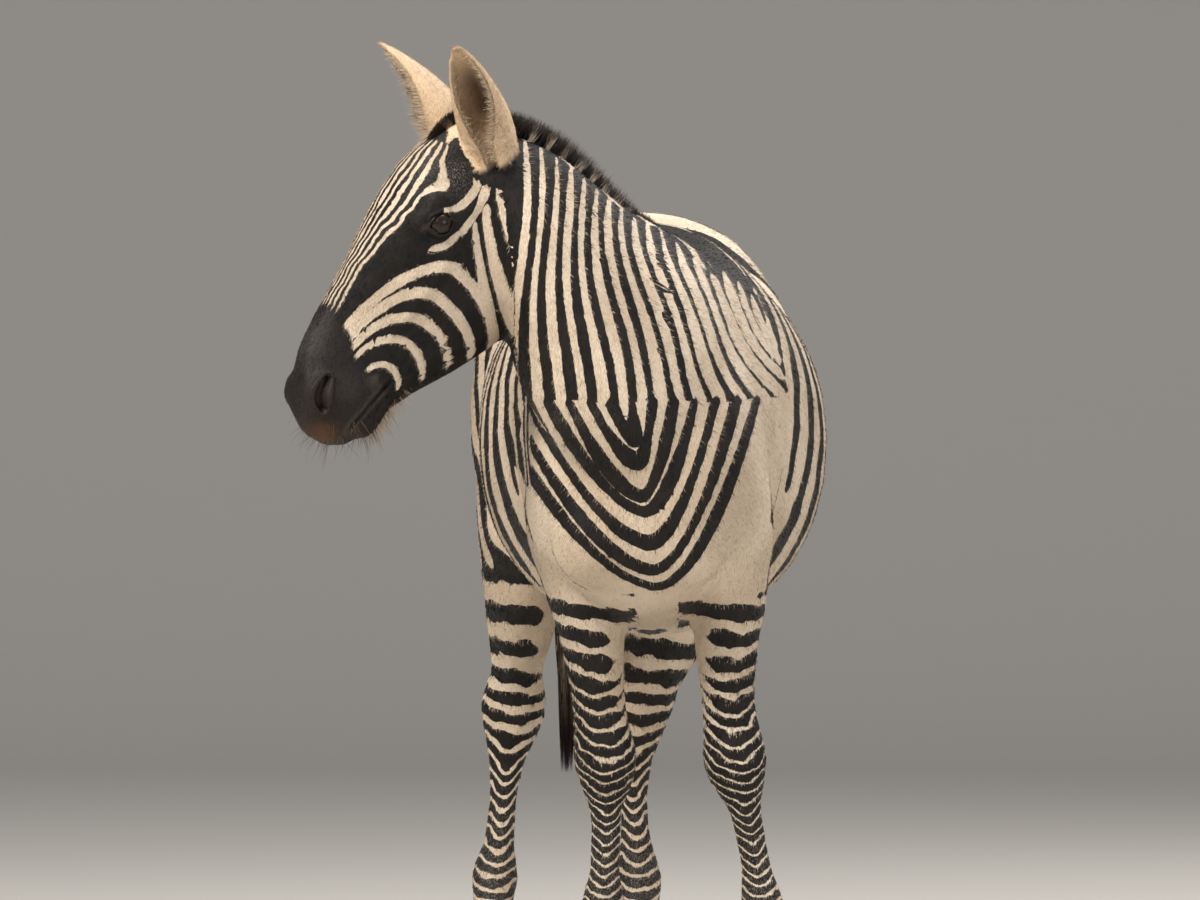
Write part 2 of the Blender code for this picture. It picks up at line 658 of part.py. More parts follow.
def main():
    for old in list(bpy.data.objects):
        bpy.data.objects.remove(old)
    forms = make_collection("forms")
    cutters = make_collection("cutters")
    zebra = make_collection("zebra")
    hide = make_material("hide", (0.60, 0.52, 0.43), 0.75)
    horn = make_material("hoof_horn", (0.035, 0.030, 0.027), 0.50)
    eye_shell = make_material("eye", (0.012, 0.008, 0.006), 0.08)
    hair = make_material("long_hair", (0.050, 0.038, 0.030), 0.65)

    flesh = make_flesh(forms)
    grown = flesh.copy()
    grown.data = flesh.data.copy()
    forms.objects.link(grown)
    swell = grown.modifiers.new("swell", "DISPLACE")
    swell.mid_level = 0.0
    swell.strength = GAP
    grown = modified(grown, "grown_flesh", forms)

    make_cutters(cutters)
    pieces = part_flesh(flesh, cutters, forms)
    for piece in pieces.values():
        forms.objects.unlink(piece)
        zebra.objects.link(piece)
        piece.data.materials.clear()
        piece.data.materials.append(hide)

    set_pieces = [(ear(name, zebra), hide) for name in EARS]
    set_pieces.append((mane(zebra), hair))
    for piece, finish in set_pieces:
        add_boolean(piece, "DIFFERENCE", grown)
        made = modified(piece, piece.name, zebra)
        made.name = made.data.name = made.name.split(".")[0]
        made.data.materials.clear()
        made.data.materials.append(finish)
    tail_tuft(zebra).data.materials.append(hair)
    for leg in LEG_LINES:
        hoof(leg, zebra).data.materials.append(horn)
    for side, tag in ((1, "left"), (-1, "right")):
        globe = ball(f"eye_{tag}", eye_place(side), [EYE_RADIUS] * 3, UPRIGHT, zebra, 12)
        globe.data.materials.append(eye_shell)

    for group in (forms, cutters):
        for helper in list(group.objects):
            bpy.data.objects.remove(helper)
        bpy.data.collections.remove(group)
    stand_on_origin(zebra)


def stand_on_origin(group):
    """Move every piece so that the origin lies under the middle of the whole, on the floor."""
    corners = np.array([piece.matrix_world @ Vector(c) for piece in group.objects for c in piece.bound_box])
    low, high = corners.min(axis=0), corners.max(axis=0)
    print("box", low.round(4), high.round(4))
    shift = Matrix.Translation((-(low[0] + high[0]) / 2, -(low[1] + high[1]) / 2, 0.0))
    for piece in group.objects:
        piece.data.transform(shift)
        piece.data.shade_smooth()
        piece.data.set_sharp_from_angle(angle=math.radians(50))


if __name__ == "__main__":
    main()
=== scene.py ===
# %% [markdown]
# # A plains zebra at life size
# This lesson dresses a still, museum-style zebra. The solids of the frame already hold its
# size and stance, so every piece here is worked out from them. The order is: landmarks,
# camera and light, the skin and its forms, the stripes, the eyes and hooves, and then the
# hair, from the mane down to the short coat that breaks the outline.

# %% Load the frame
import math

import bmesh
import bpy
import numpy as np
from mathutils import Matrix, Vector


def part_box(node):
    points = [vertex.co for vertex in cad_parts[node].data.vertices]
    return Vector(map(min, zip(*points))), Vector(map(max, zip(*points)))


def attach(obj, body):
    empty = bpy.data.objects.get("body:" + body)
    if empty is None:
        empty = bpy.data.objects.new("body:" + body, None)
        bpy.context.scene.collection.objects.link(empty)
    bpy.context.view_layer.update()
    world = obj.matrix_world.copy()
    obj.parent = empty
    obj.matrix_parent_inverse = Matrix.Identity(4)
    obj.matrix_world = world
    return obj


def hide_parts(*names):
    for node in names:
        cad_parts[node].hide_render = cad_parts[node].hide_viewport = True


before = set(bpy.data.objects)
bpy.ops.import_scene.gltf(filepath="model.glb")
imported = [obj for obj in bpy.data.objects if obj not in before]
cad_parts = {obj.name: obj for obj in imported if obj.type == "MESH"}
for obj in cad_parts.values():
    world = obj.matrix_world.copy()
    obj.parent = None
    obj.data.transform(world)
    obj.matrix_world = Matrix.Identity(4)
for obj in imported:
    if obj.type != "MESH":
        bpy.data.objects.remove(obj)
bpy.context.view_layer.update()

bpy.ops.object.select_all(action="DESELECT")

# %% [markdown]
# ## Landmarks
# A sculptor marks a few points on the armature and measures everything from them. The two
# eye solids fix the head: the line between them is its width, and the set of the head in
# its neck gives the way the nose points. The same point, the poll, also ties the frame's
# origin to the body's own origin, which lies on the floor between the fore feet.

# %% The head's own axes
HEAD_YAW = math.radians(19)            # from straight right towards the front
HEAD_PITCH = math.radians(57.6)        # nose below the level
EYE_ALONG, EYE_DROP = 0.161, 0.050     # the eyes, measured from the poll
EYE_RADIUS = 0.0225
UP = Vector((0, 0, 1))


def middle_of(node):
    low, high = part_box(node)
    return (low + high) / 2


eyes = {"left": middle_of("eye_left"), "right": middle_of("eye_right")}
heading = Vector((-math.cos(HEAD_YAW), -math.sin(HEAD_YAW), 0))
NOSE = heading * math.cos(HEAD_PITCH) - UP * math.sin(HEAD_PITCH)
LEFT = (eyes["left"] - eyes["right"]).normalized()
BROW = NOSE.cross(LEFT).normalized()
POLL = (eyes["left"] + eyes["right"]) / 2 - NOSE * EYE_ALONG + BROW * EYE_DROP
BODY_ORIGIN = POLL - Vector((-0.3125, -0.290, 1.4637))


def on_head(along, height, side=0.0):
    """A point of the head: from the poll to the muzzle, out of the brow, and to the left."""
    return POLL + NOSE * along + BROW * height + LEFT * side


def at(x, y, z):
    """A point of the body, from the floor between the fore feet."""
    return BODY_ORIGIN + Vector((x, y, z))


HEAD_AXES = np.array([NOSE, BROW, LEFT])
print("poll", POLL[:], "nose", NOSE[:], "left", LEFT[:])

# %% [markdown]
# ## Camera, floor and light
# The view is that of a person far in front of the animal with a long lens: the head shows
# its left side, and the trunk is seen from the chest, so the barrel and haunches show only
# as rims behind the shoulders. A long lens keeps parallel lines parallel, which is why the
# camera stands twenty metres away. The floor is one pale sheet that curves up behind, and
# the light is soft and comes from above and both sides, as in a museum hall.

# %% The camera
CAMERA_BACK = 20.0          # metres in front of the fore feet
CAMERA_HEIGHT = 1.30
CAMERA_LENS = 372.0
CAMERA_TILT = math.radians(1.067)

lens = bpy.data.cameras.new("camera")
lens.sensor_width = 36.0
lens.lens = CAMERA_LENS
lens.clip_end = 200.0
camera = bpy.data.objects.new("camera", lens)
bpy.context.scene.collection.objects.link(camera)
camera.location = at(-0.0645, -CAMERA_BACK, CAMERA_HEIGHT)
camera.rotation_euler = (math.radians(90) - CAMERA_TILT, 0, 0)
bpy.context.scene.camera = camera

# %% The floor that curves up into a backdrop
FLOOR_HALF, FLOOR_FRONT, FLOOR_BACK = 30.0, -24.0, 9.0
SWEEP_RADIUS, SWEEP_STEPS, WALL_TOP = 4.0, 24, 16.0

profile = [(FLOOR_FRONT, 0.0), (FLOOR_BACK, 0.0)]
for step in range(1, SWEEP_STEPS + 1):
    turn = math.pi / 2 * step / SWEEP_STEPS
    profile.append((FLOOR_BACK + SWEEP_RADIUS * math.sin(turn), SWEEP_RADIUS * (1 - math.cos(turn))))
profile.append((FLOOR_BACK + SWEEP_RADIUS, WALL_TOP))
sheet = bmesh.new()
edges = [[sheet.verts.new((side * FLOOR_HALF, y, z)) for side in (-1, 1)] for y, z in profile]
for near, far in zip(edges, edges[1:]):
    sheet.faces.new((near[0], near[1], far[1], far[0]))
floor_mesh = bpy.data.meshes.new("floor")
sheet.to_mesh(floor_mesh)
sheet.free()
floor_mesh.shade_smooth()
floor = bpy.data.objects.new("floor", floor_mesh)
bpy.context.scene.collection.objects.link(floor)

floor_finish = bpy.data.materials.new("floor_paper")
floor_finish.use_nodes = True
floor_shader = floor_finish.node_tree.nodes["Principled BSDF"]
floor_shader.inputs["Base Color"].default_value = (0.50, 0.475, 0.435, 1)
floor_shader.inputs["Roughness"].default_value = 0.85
floor.data.materials.append(floor_finish)
print("floor in place, camera at", camera.location[:])

# %% Soft light from above and both sides
LIGHTS = {
    # name: (place from the body's origin, size, watts, colour)
    "key": ((-3.6, -4.2, 4.8), 2.4, 430, (1.0, 0.95, 0.88)),
    "fill": ((5.0, -4.5, 2.6), 4.0, 130, (1.0, 0.97, 0.93)),
    "top": ((0.4, 0.4, 5.2), 4.0, 230, (1.0, 0.99, 0.98)),
    "rim": ((3.4, 4.4, 3.6), 2.5, 80, (1.0, 0.97, 0.93)),
}
look_at = at(0.0, 0.2, 0.9)
for name, (place, size, watts, colour) in LIGHTS.items():
    lamp = bpy.data.lights.new(name, "AREA")
    lamp.shape = "DISK"
    lamp.size = size
    lamp.energy = watts
    lamp.color = colour
    holder = bpy.data.objects.new(name, lamp)
    bpy.context.scene.collection.objects.link(holder)
    holder.location = at(*place)
    holder.rotation_euler = (look_at - holder.location).to_track_quat("-Z", "Y").to_euler()

world = bpy.data.worlds.new("hall")
bpy.context.scene.world = world
world.use_nodes = True
world.node_tree.nodes["Background"].inputs["Color"].default_value = (0.93, 0.95, 1.0, 1)
world.node_tree.nodes["Background"].inputs["Strength"].default_value = 0.42
bpy.context.scene.view_settings.view_transform = "Standard"
print(len(LIGHTS), "lights")

# %% [markdown]
# ## One skin over the whole body
# The flesh of the frame comes in twelve pieces with hair-thin gaps between them. A hide has
# no such seams, so copies of the pieces are swollen by a millimetre until they overlap, and
# a voxel remesh wraps them in one closed sheet. Smoothing then melts the facets: strongly
# on the barrel and neck, and hardly on the bony legs and face, which a vertex group says.

# %% Number helpers
def smooth_step(low, high, values):
    """0 below low, 1 above high, and a smooth rise between."""
    t = np.clip((np.asarray(values, float) - low) / (high - low), 0.0, 1.0)
    return t * t * (3 - 2 * t)


def corners_of(mesh):
    found = np.empty(len(mesh.vertices) * 3)
    mesh.vertices.foreach_get("co", found)
    return found.reshape(-1, 3)


def normals_of(mesh):
    found = np.empty(len(mesh.vertices) * 3, np.float32)
    mesh.vertex_normals.foreach_get("vector", found)
    return found.reshape(-1, 3).astype(float)


def set_corners(mesh, places):
    mesh.vertices.foreach_set("co", np.ascontiguousarray(places, float).ravel())
    mesh.update()


def head_places(places):
    """Points as (along, height, side) of the head."""
    return (places - np.array(POLL)) @ HEAD_AXES.T


def body_places(places):
    return places - np.array(BODY_ORIGIN)


def filled_in(rows, between):
    """Rows of numbers with more rows put between them along a Catmull-Rom curve."""
    rows = np.array(rows, float)
    padded = np.vstack([2 * rows[0] - rows[1], rows, 2 * rows[-1] - rows[-2]])
    filled = []
    for i in range(len(rows) - 1):
        a, b, c, d = padded[i : i + 4]
        for step in range(between):
            t = step / between
            bend = (2 * a - 5 * b + 4 * c - d) * t**2 + (3 * b - 3 * c + d - a) * t**3
            filled.append(0.5 * (2 * b + (c - a) * t + bend))
    filled.append(rows[-1])
    return np.array(filled)


def from_line(places, line):
    """Distance from every point to a bent line, and how far along the line its foot lies."""
    best = np.full(len(places), np.inf)
    share = np.zeros(len(places))
    last = len(line) - 1
    for k in range(last):
        run = line[k + 1] - line[k]
        t = np.clip(((places - line[k]) @ run) / max(run @ run, 1e-12), 0, 1)
        gap = np.linalg.norm(places - line[k] - t[:, None] * run, axis=1)
        closer = gap < best
        best[closer] = gap[closer]
        share[closer] = (k + t[closer]) / last
    return best, share


# %% Object helpers
def only(piece):
    """Make one object the selected and active one."""
    bpy.ops.object.select_all(action="DESELECT")
    piece.select_set(True)
    bpy.context.view_layer.objects.active = piece


def new_piece(name, mesh):
    made = bpy.data.objects.new(name, mesh)
    bpy.context.scene.collection.objects.link(made)
    return made


def merged(piece):
    only(piece)
    bpy.ops.object.mode_set(mode="EDIT")
    bpy.ops.mesh.select_all(action="SELECT")
    bpy.ops.mesh.remove_doubles(threshold=0.00005)
    bpy.ops.object.mode_set(mode="OBJECT")


def apply_all(piece):
    only(piece)
    for modifier in list(piece.modifiers):
        bpy.ops.object.modifier_apply(modifier=modifier.name)


def wrap(piece, voxel):
    """One closed sheet round everything in the piece."""
    remesh = piece.modifiers.new("wrap", "REMESH")
    remesh.mode = "VOXEL"
    remesh.voxel_size = voxel
    apply_all(piece)


def soften(piece, passes, weights=None, factor=0.5):
    smooth = piece.modifiers.new("soften", "SMOOTH")
    smooth.factor = factor
    smooth.iterations = passes
    if weights is not None:
        group = piece.vertex_groups.new(name="soft")
        for level in range(1, 11):
            chosen = np.nonzero(np.round(weights * 10) == level)[0]
            group.add(chosen.tolist(), level / 10, "REPLACE")
        smooth.vertex_group = "soft"
    apply_all(piece)
    piece.vertex_groups.clear()


# %% Copies of the flesh, swollen until they meet
LEGS = [f"{end}_{side}" for end in ("fore", "hind") for side in ("left", "right")]
FLESH = ["trunk", "neck", "head", "tail"]
FLESH += [f"leg_{leg}_{part}" for leg in LEGS for part in ("upper", "lower")]
SWELL = 0.0010              # more than half of the gap between two pieces
COARSE_VOXEL = 0.0043

copies = []
for node in FLESH:
    piece = new_piece("copy_" + node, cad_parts[node].data.copy())
    merged(piece)
    grow = piece.modifiers.new("grow", "DISPLACE")
    grow.mid_level = 0.0
    grow.strength = SWELL
    apply_all(piece)
    copies.append(piece)
only(copies[0])
for piece in copies:
    piece.select_set(True)
bpy.ops.object.join()
skin = bpy.context.view_layer.objects.active
skin.name = skin.data.name = "skin"
wrap(skin, COARSE_VOXEL)
print("wrapped in", len(skin.data.polygons), "faces")

# %% Where the head and the legs begin
HEAD_CUT = np.array(at(-0.2155, -0.234, 1.28))
HEAD_CUT_NORMAL = np.array((-0.979, -0.115, -0.104))


def head_share(places):
    """1 on the head, 0 behind the jaw and the ears."""
    near = body_places(places)
    ahead = (places - HEAD_CUT) @ HEAD_CUT_NORMAL
    return smooth_step(-0.012, 0.024, ahead) * (near[:, 2] > 0.94) * (near[:, 1] < -0.06)


def leg_share(places):
    """1 from the knees and gaskins down, 0 on the trunk."""
    return 1 - smooth_step(0.56, 0.76, body_places(places)[:, 2])


places = corners_of(skin.data)
bony = np.maximum(head_share(places), leg_share(places))
soften(skin, 60, 1.0 - 0.85 * bony)
print("melted the facets of", len(skin.data.vertices), "points")

# %% [markdown]
# ## Ears
# A zebra's ear is a cupped sheet: rolled shut at its root, open in front and drawn to a
# blunt tip. It is laid out as rows of points across a trough whose edges wrap round less
# and less towards the tip, given a wall, and then wrapped into the skin at a finer grain,
# so that it grows out of the skull with no seam.

# %% Two cupped sheets
EARS = {
    # root, tip and where the cup opens, all as (along, height, side)
    "left": ((0.020, -0.092, 0.057), (-0.078, 0.098, 0.114), (0.62, 0.0, 0.62)),
    "right": ((0.022, -0.090, -0.058), (-0.056, 0.108, -0.120), (0.80, 0.0, -0.02)),
}
# along the ear: half width, and how far the edges of the cup wrap round, in degrees
EAR_CUP = [
    (0.00, 0.040, 172), (0.20, 0.043, 170), (0.36, 0.042, 152), (0.54, 0.036, 124),
    (0.72, 0.0275, 104), (0.87, 0.0180, 95), (0.96, 0.0090, 92), (1.00, 0.0035, 90),
]
EAR_WALL = 0.0056
EAR_ACROSS = 33


def ear_frame(side):
    root, tip, facing = EARS[side]
    root, tip = on_head(*root), on_head(*tip)
    axis = (tip - root).normalized()
    opening = NOSE * facing[0] + BROW * facing[1] + LEFT * facing[2]
    opening = (opening - axis * opening.dot(axis)).normalized()
    return root, tip, axis, opening, axis.cross(opening)


def ear_point(side, t, turn_share, lift=0.0):
    """A point of the ear's sheet: t runs to the tip and turn_share from edge to edge, -1 to 1."""
    root, tip, axis, opening, sideways = ear_frame(side)
    heights = [row[0] for row in EAR_CUP]
    half = float(np.interp(t, heights, [row[1] for row in EAR_CUP]))
    angle = math.radians(float(np.interp(t, heights, [row[2] for row in EAR_CUP]))) * turn_share
    deep = half * (0.62 + 0.38 * (1 - t)) - lift
    middle = root.lerp(tip, t) - opening * 0.012 * math.sin(math.pi * t)
    return middle + sideways * (half - lift) * math.sin(angle) - opening * deep * math.cos(angle)


def ear_sheet(side):
    mesh = bmesh.new()
    rows = []
    for t in np.concatenate([np.linspace(0, 0.9, 46), np.linspace(0.915, 1.0, 9)]):
        shares = np.linspace(-1, 1, EAR_ACROSS)
        rows.append([mesh.verts.new(ear_point(side, float(t), float(s))) for s in shares])
    for low, high in zip(rows, rows[1:]):
        for k in range(EAR_ACROSS - 1):
            mesh.faces.new((low[k], low[k + 1], high[k + 1], high[k]))
    data = bpy.data.meshes.new("ear_sheet")
    mesh.to_mesh(data)
    mesh.free()
    sheet = new_piece("ear_sheet_" + side, data)
    soften(sheet, 4)
    wall = sheet.modifiers.new("wall", "SOLIDIFY")
    wall.thickness = EAR_WALL
    wall.offset = 0.0
    wall.use_even_offset = True
    apply_all(sheet)
    return sheet


# %% [markdown]
# A grain fine enough for ears and lids would waste a million faces on the barrel. So the
# head is cut off behind the ears, wrapped again with the ears at a finer grain, and sewn
# back to the coarse body along the cut: two open rims, a few millimetres apart, are bridged.

# %% The head wrapped again with its ears
FINE_VOXEL = 0.0030
NECK_CUT = Vector((-0.172, -0.256, 1.246)) + BODY_ORIGIN
NECK_CUT_NORMAL = Vector((-0.864, -0.476, 0.167))
CAP, HEAD_RIM, BODY_RIM = -0.020, -0.004, -0.010     # the cuts, measured along that normal


def cut_neck(piece, distance, keep_head, fill=False):
    """Cut a piece across the neck and drop the head, or all but the head."""
    only(piece)
    bpy.ops.object.mode_set(mode="EDIT")
    bpy.ops.mesh.select_all(action="SELECT")
    bpy.ops.mesh.bisect(
        plane_co=NECK_CUT + NECK_CUT_NORMAL * distance, plane_no=NECK_CUT_NORMAL,
        clear_inner=keep_head, clear_outer=not keep_head, use_fill=fill,
    )
    bpy.ops.object.mode_set(mode="OBJECT")


block = new_piece("head_block", skin.data.copy())
cut_neck(block, CAP, keep_head=True, fill=True)
ears = [ear_sheet(side) for side in EARS]
only(block)
for sheet in ears:
    sheet.select_set(True)
bpy.ops.object.join()
wrap(block, FINE_VOXEL)
soften(block, 4)
cut_neck(block, HEAD_RIM, keep_head=True)
print("the head has", len(block.data.polygons), "faces")

# %% The head sewn back
cut_neck(skin, BODY_RIM, keep_head=False)
only(skin)
block.select_set(True)
bpy.ops.object.join()
merged(skin)
bpy.ops.object.mode_set(mode="EDIT")
bpy.ops.mesh.select_mode(type="EDGE")
bpy.ops.mesh.select_all(action="DESELECT")
bpy.ops.mesh.select_non_manifold(extend=False, use_wire=False, use_multi_face=False, use_verts=False)
bpy.ops.mesh.bridge_edge_loops()
bpy.ops.mesh.select_all(action="SELECT")
bpy.ops.mesh.normals_make_consistent(inside=False)
bpy.ops.object.mode_set(mode="OBJECT")
past_cut = (corners_of(skin.data) - np.array(NECK_CUT)) @ np.array(NECK_CUT_NORMAL)
seam = np.abs(past_cut - (HEAD_RIM + BODY_RIM) / 2)
soften(skin, 8, 1 - smooth_step(0.008, 0.024, seam))
print("the skin now has", len(skin.data.polygons), "faces")

# %% [markdown]
# ## Forms under the skin
# The wrapped sheet has the right outline but none of the small forms: bones that show at
# knee and hock, tendons, the shoulder's edge, and on the head the lids, nostrils, lips and
# cheeks. They are pressed in or raised with soft fingers, each one a distance to a point or
# to a bent line and a height in millimetres. The whole sheet is first drawn in by the depth
# of the coat, which the hair pieces give back.

# %% Soft fingers
COAT_DEPTH = 0.0022


def raise_spot(places, normals, centre, radii, axes, height):
    """Raise a soft mound whose radii lie along three axes; a negative height is a hollow."""
    offset = (places - np.array(centre)) @ np.array([a[:] for a in axes]).T / np.array(radii)
    amount = height * np.exp(-(offset**2).sum(axis=1) * 1.5)
    return places + normals * amount[:, None]


def raise_line(places, normals, line, width, height):
    """Raise a soft ridge along a bent line; a negative height is a groove."""
    line = np.array([p[:] for p in line], float)
    low, high = line.min(axis=0) - 3 * width, line.max(axis=0) + 3 * width
    near = np.nonzero(((places > low) & (places < high)).all(axis=1))[0]
    if len(near) == 0:
        return places
    gap, share = from_line(places[near], filled_in(line, 4))
    taper = np.minimum(1.0, 4.0 * np.minimum(share, 1 - share) + 0.25)
    places[near] += normals[near] * (height * taper * np.exp(-((gap / width) ** 2)))[:, None]
    return places


places = corners_of(skin.data)
normals = normals_of(skin.data)
head_part = head_share(places)
draw_in = (COAT_DEPTH + SWELL) * (1 - 0.55 * np.maximum(head_part, 0.6 * leg_share(places)))
ear_gap = np.minimum.reduce([
    from_line(places, np.array([ear_point(side, t, 0.0)[:] for t in np.linspace(0.25, 1, 6)]))[0]
    for side in EARS
])
draw_in *= smooth_step(0.045, 0.070, ear_gap)
places -= normals * draw_in[:, None]
print("drawn in by up to", round(float(draw_in.max()) * 1000, 1), "mm")

# %% [markdown]
# ### Muscles and bones of the body
# These are read from an anatomy book as much as from the live animal: the ridge of the
# shoulder blade, the triceps over the elbow, two breast muscles with a furrow between them,
# the groove of the jugular vein, the point of the hip, the stifle, and the hollow in front
# of the hock's tendon.

# %% Body forms
BODY_AXES = (Vector((1, 0, 0)), Vector((0, 1, 0)), Vector((0, 0, 1)))
BODY_SPOTS = [
    # centre, radii, height in millimetres
    ((0.175, -0.020, 0.800), (0.08, 0.08, 0.075), 5.0),     # left upper arm
    ((-0.150, -0.020, 0.800), (0.08, 0.08, 0.075), 5.0),    # right upper arm
    ((0.235, 0.130, 0.840), (0.05, 0.030, 0.090), -7.0),    # behind the left elbow
    ((-0.215, 0.130, 0.840), (0.05, 0.030, 0.090), -7.0),
    ((0.195, 0.060, 0.860), (0.06, 0.050, 0.080), 6.0),     # left triceps
    ((-0.170, 0.060, 0.860), (0.06, 0.050, 0.080), 6.0),
    ((0.180, 0.085, 1.150), (0.06, 0.025, 0.110), 3.0),     # shoulder blades
    ((-0.160, 0.085, 1.150), (0.06, 0.025, 0.110), 3.0),
    ((0.075, -0.240, 0.790), (0.055, 0.05, 0.075), 5.0),    # breast
    ((-0.080, -0.240, 0.790), (0.055, 0.05, 0.075), 5.0),
    ((0.205, 0.720, 1.190), (0.05, 0.040, 0.045), 6.0),     # points of the hip
    ((-0.195, 0.720, 1.190), (0.05, 0.040, 0.045), 6.0),
    ((0.225, 0.640, 1.100), (0.06, 0.060, 0.090), -7.0),    # flank hollows
    ((-0.205, 0.640, 1.100), (0.06, 0.060, 0.090), -7.0),
    ((0.190, 0.790, 0.780), (0.06, 0.050, 0.060), 6.0),     # stifles
    ((-0.235, 0.790, 0.780), (0.06, 0.050, 0.060), 6.0),
]
BODY_LINES = [
    # bent line, width, height in millimetres
    ([(0.0, -0.290, 0.905), (0.004, -0.296, 0.850), (0.006, -0.285, 0.780), (0.006, -0.255, 0.715)],
     0.011, -5.0),
    ([(-0.105, -0.310, 1.120), (-0.060, -0.320, 1.020), (0.020, -0.290, 0.930)], 0.014, -3.0),
    ([(0.105, -0.200, 0.905), (0.165, -0.130, 0.870), (0.190, -0.090, 0.800)], 0.018, -4.0),
    ([(-0.105, -0.210, 0.905), (-0.150, -0.130, 0.870), (-0.165, -0.090, 0.800)], 0.018, -4.0),
    ([(-0.205, -0.262, 1.330), (-0.185, -0.290, 1.230), (-0.200, -0.270, 1.150)], 0.010, 2.5),
    ([(-0.215, -0.255, 1.160), (-0.165, -0.312, 1.120), (-0.130, -0.322, 1.085)], 0.006, -2.5),
    ([(-0.222, -0.255, 1.135), (-0.180, -0.308, 1.085), (-0.140, -0.322, 1.050)], 0.005, -2.0),
    ([(0.260, 0.060, 0.990), (0.262, 0.085, 0.900), (0.240, 0.100, 0.830)], 0.006, -2.5),
    ([(0.275, 0.100, 0.980), (0.270, 0.118, 0.900), (0.250, 0.122, 0.840)], 0.006, -2.0),
]
for centre, radii, height in BODY_SPOTS:
    places = raise_spot(places, normals, at(*centre), radii, BODY_AXES, height / 1000)
for line, width, height in BODY_LINES:
    places = raise_line(places, normals, [at(*p) for p in line], width, height / 1000)
for rib in range(7):
    for side in (1, -1):
        top = 0.300 + 0.055 * rib
        reach = 0.262 + 0.02 * math.sin(rib / 6 * math.pi)
        line = [(side * reach * 0.86, top + 0.01, 1.130), (side * (reach + 0.022), top + 0.03, 1.000),
                (side * (reach + 0.012), top + 0.07, 0.860)]
        places = raise_line(places, normals, [at(*p) for p in line], 0.016, 0.0011)

# %% Legs: forearms, knees, tendons, hocks and fetlocks
LEG_LINES = {
    # the middle of each leg as (height, x)
    "fore_right": [(0.86, -0.118), (0.70, -0.088), (0.61, -0.076), (0.505, -0.065),
                   (0.42, -0.055), (0.29, -0.055), (0.20, -0.059), (0.0, -0.064)],
    "fore_left": [(0.86, 0.140), (0.70, 0.140), (0.60, 0.139), (0.505, 0.144),
                  (0.42, 0.155), (0.32, 0.176), (0.20, 0.197), (0.0, 0.226)],
    "hind_right": [(0.98, -0.165), (0.80, -0.178), (0.64, -0.196), (0.54, -0.205), (0.48, -0.210),
                   (0.38, -0.223), (0.28, -0.2315), (0.188, -0.2425), (0.0, -0.255)],
    "hind_left": [(0.98, 0.105), (0.80, 0.088), (0.70, 0.068), (0.62, 0.049), (0.56, 0.034),
                  (0.48, 0.000), (0.42, -0.006), (0.36, -0.009), (0.28, -0.006), (0.188, 0.000),
                  (0.0, 0.016)],
}
LEG_SPOTS = {
    # sideways from the middle, y, height, radii, millimetres
    "fore": [
        (0.052, 0.050, 0.660, (0.03, 0.045, 0.070), 4.0), (0.0, -0.035, 0.640, (0.04, 0.03, 0.080), 4.0),
        (0.048, 0.045, 0.440, (0.02, 0.018, 0.030), 3.0), (-0.048, 0.045, 0.440, (0.02, 0.018, 0.030), 3.0),
        (0.0, -0.022, 0.440, (0.025, 0.02, 0.022), 3.0), (0.0, -0.016, 0.400, (0.025, 0.02, 0.015), 2.5),
        (0.0, 0.078, 0.445, (0.02, 0.02, 0.020), 4.0), (0.032, 0.062, 0.185, (0.016, 0.02, 0.022), 2.5),
        (-0.032, 0.062, 0.185, (0.016, 0.02, 0.022), 2.5),
    ],
    "hind": [
        (0.050, 0.985, 0.640, (0.03, 0.05, 0.070), 4.0), (0.045, 1.045, 0.540, (0.03, 0.014, 0.040), -5.0),
        (-0.045, 1.045, 0.540, (0.03, 0.014, 0.040), -5.0), (0.040, 0.990, 0.480, (0.03, 0.03, 0.030), 3.5),
        (-0.040, 0.990, 0.480, (0.03, 0.03, 0.030), 3.5), (0.0, 1.085, 0.515, (0.02, 0.02, 0.022), 3.0),
        (0.034, 1.035, 0.190, (0.016, 0.02, 0.022), 2.5), (-0.034, 1.035, 0.190, (0.016, 0.02, 0.022), 2.5),
    ],
}
TENDON_Y = {"fore": 0.034, "hind": 1.012}


def leg_middle(leg, height):
    line = sorted(LEG_LINES[leg])
    return float(np.interp(height, [row[0] for row in line], [row[1] for row in line]))


for leg in LEGS:
    end = leg[:4]
    for sideways, y, height, radii, amount in LEG_SPOTS[end]:
        centre = at(leg_middle(leg, height) + sideways, y, height)
        places = raise_spot(places, normals, centre, radii, BODY_AXES, amount / 1000)
    for side in (1, -1):
        groove = [at(leg_middle(leg, z) + side * 0.030, TENDON_Y[end], z) for z in (0.365, 0.300, 0.235)]
        places = raise_line(places, normals, groove, 0.009, -0.0045)
        cleft = [at(leg_middle(leg, z) + side * 0.024, TENDON_Y[end] + 0.012, z)
             for z in (0.215, 0.190, 0.165)]
        places = raise_line(places, normals, cleft, 0.006, -0.0020)
set_corners(skin.data, places)
print("body and leg forms raised")

# %% [markdown]
# ### Face
# The head is what people look at first. Its bones come before its folds: the ridge from
# the cheek to the muzzle, the arch behind the eye, the hollow of the temple and the round
# edge of the jaw. The sheet is divided again round eyes, nostrils and lips, because a lid's
# edge is only two millimetres thick.

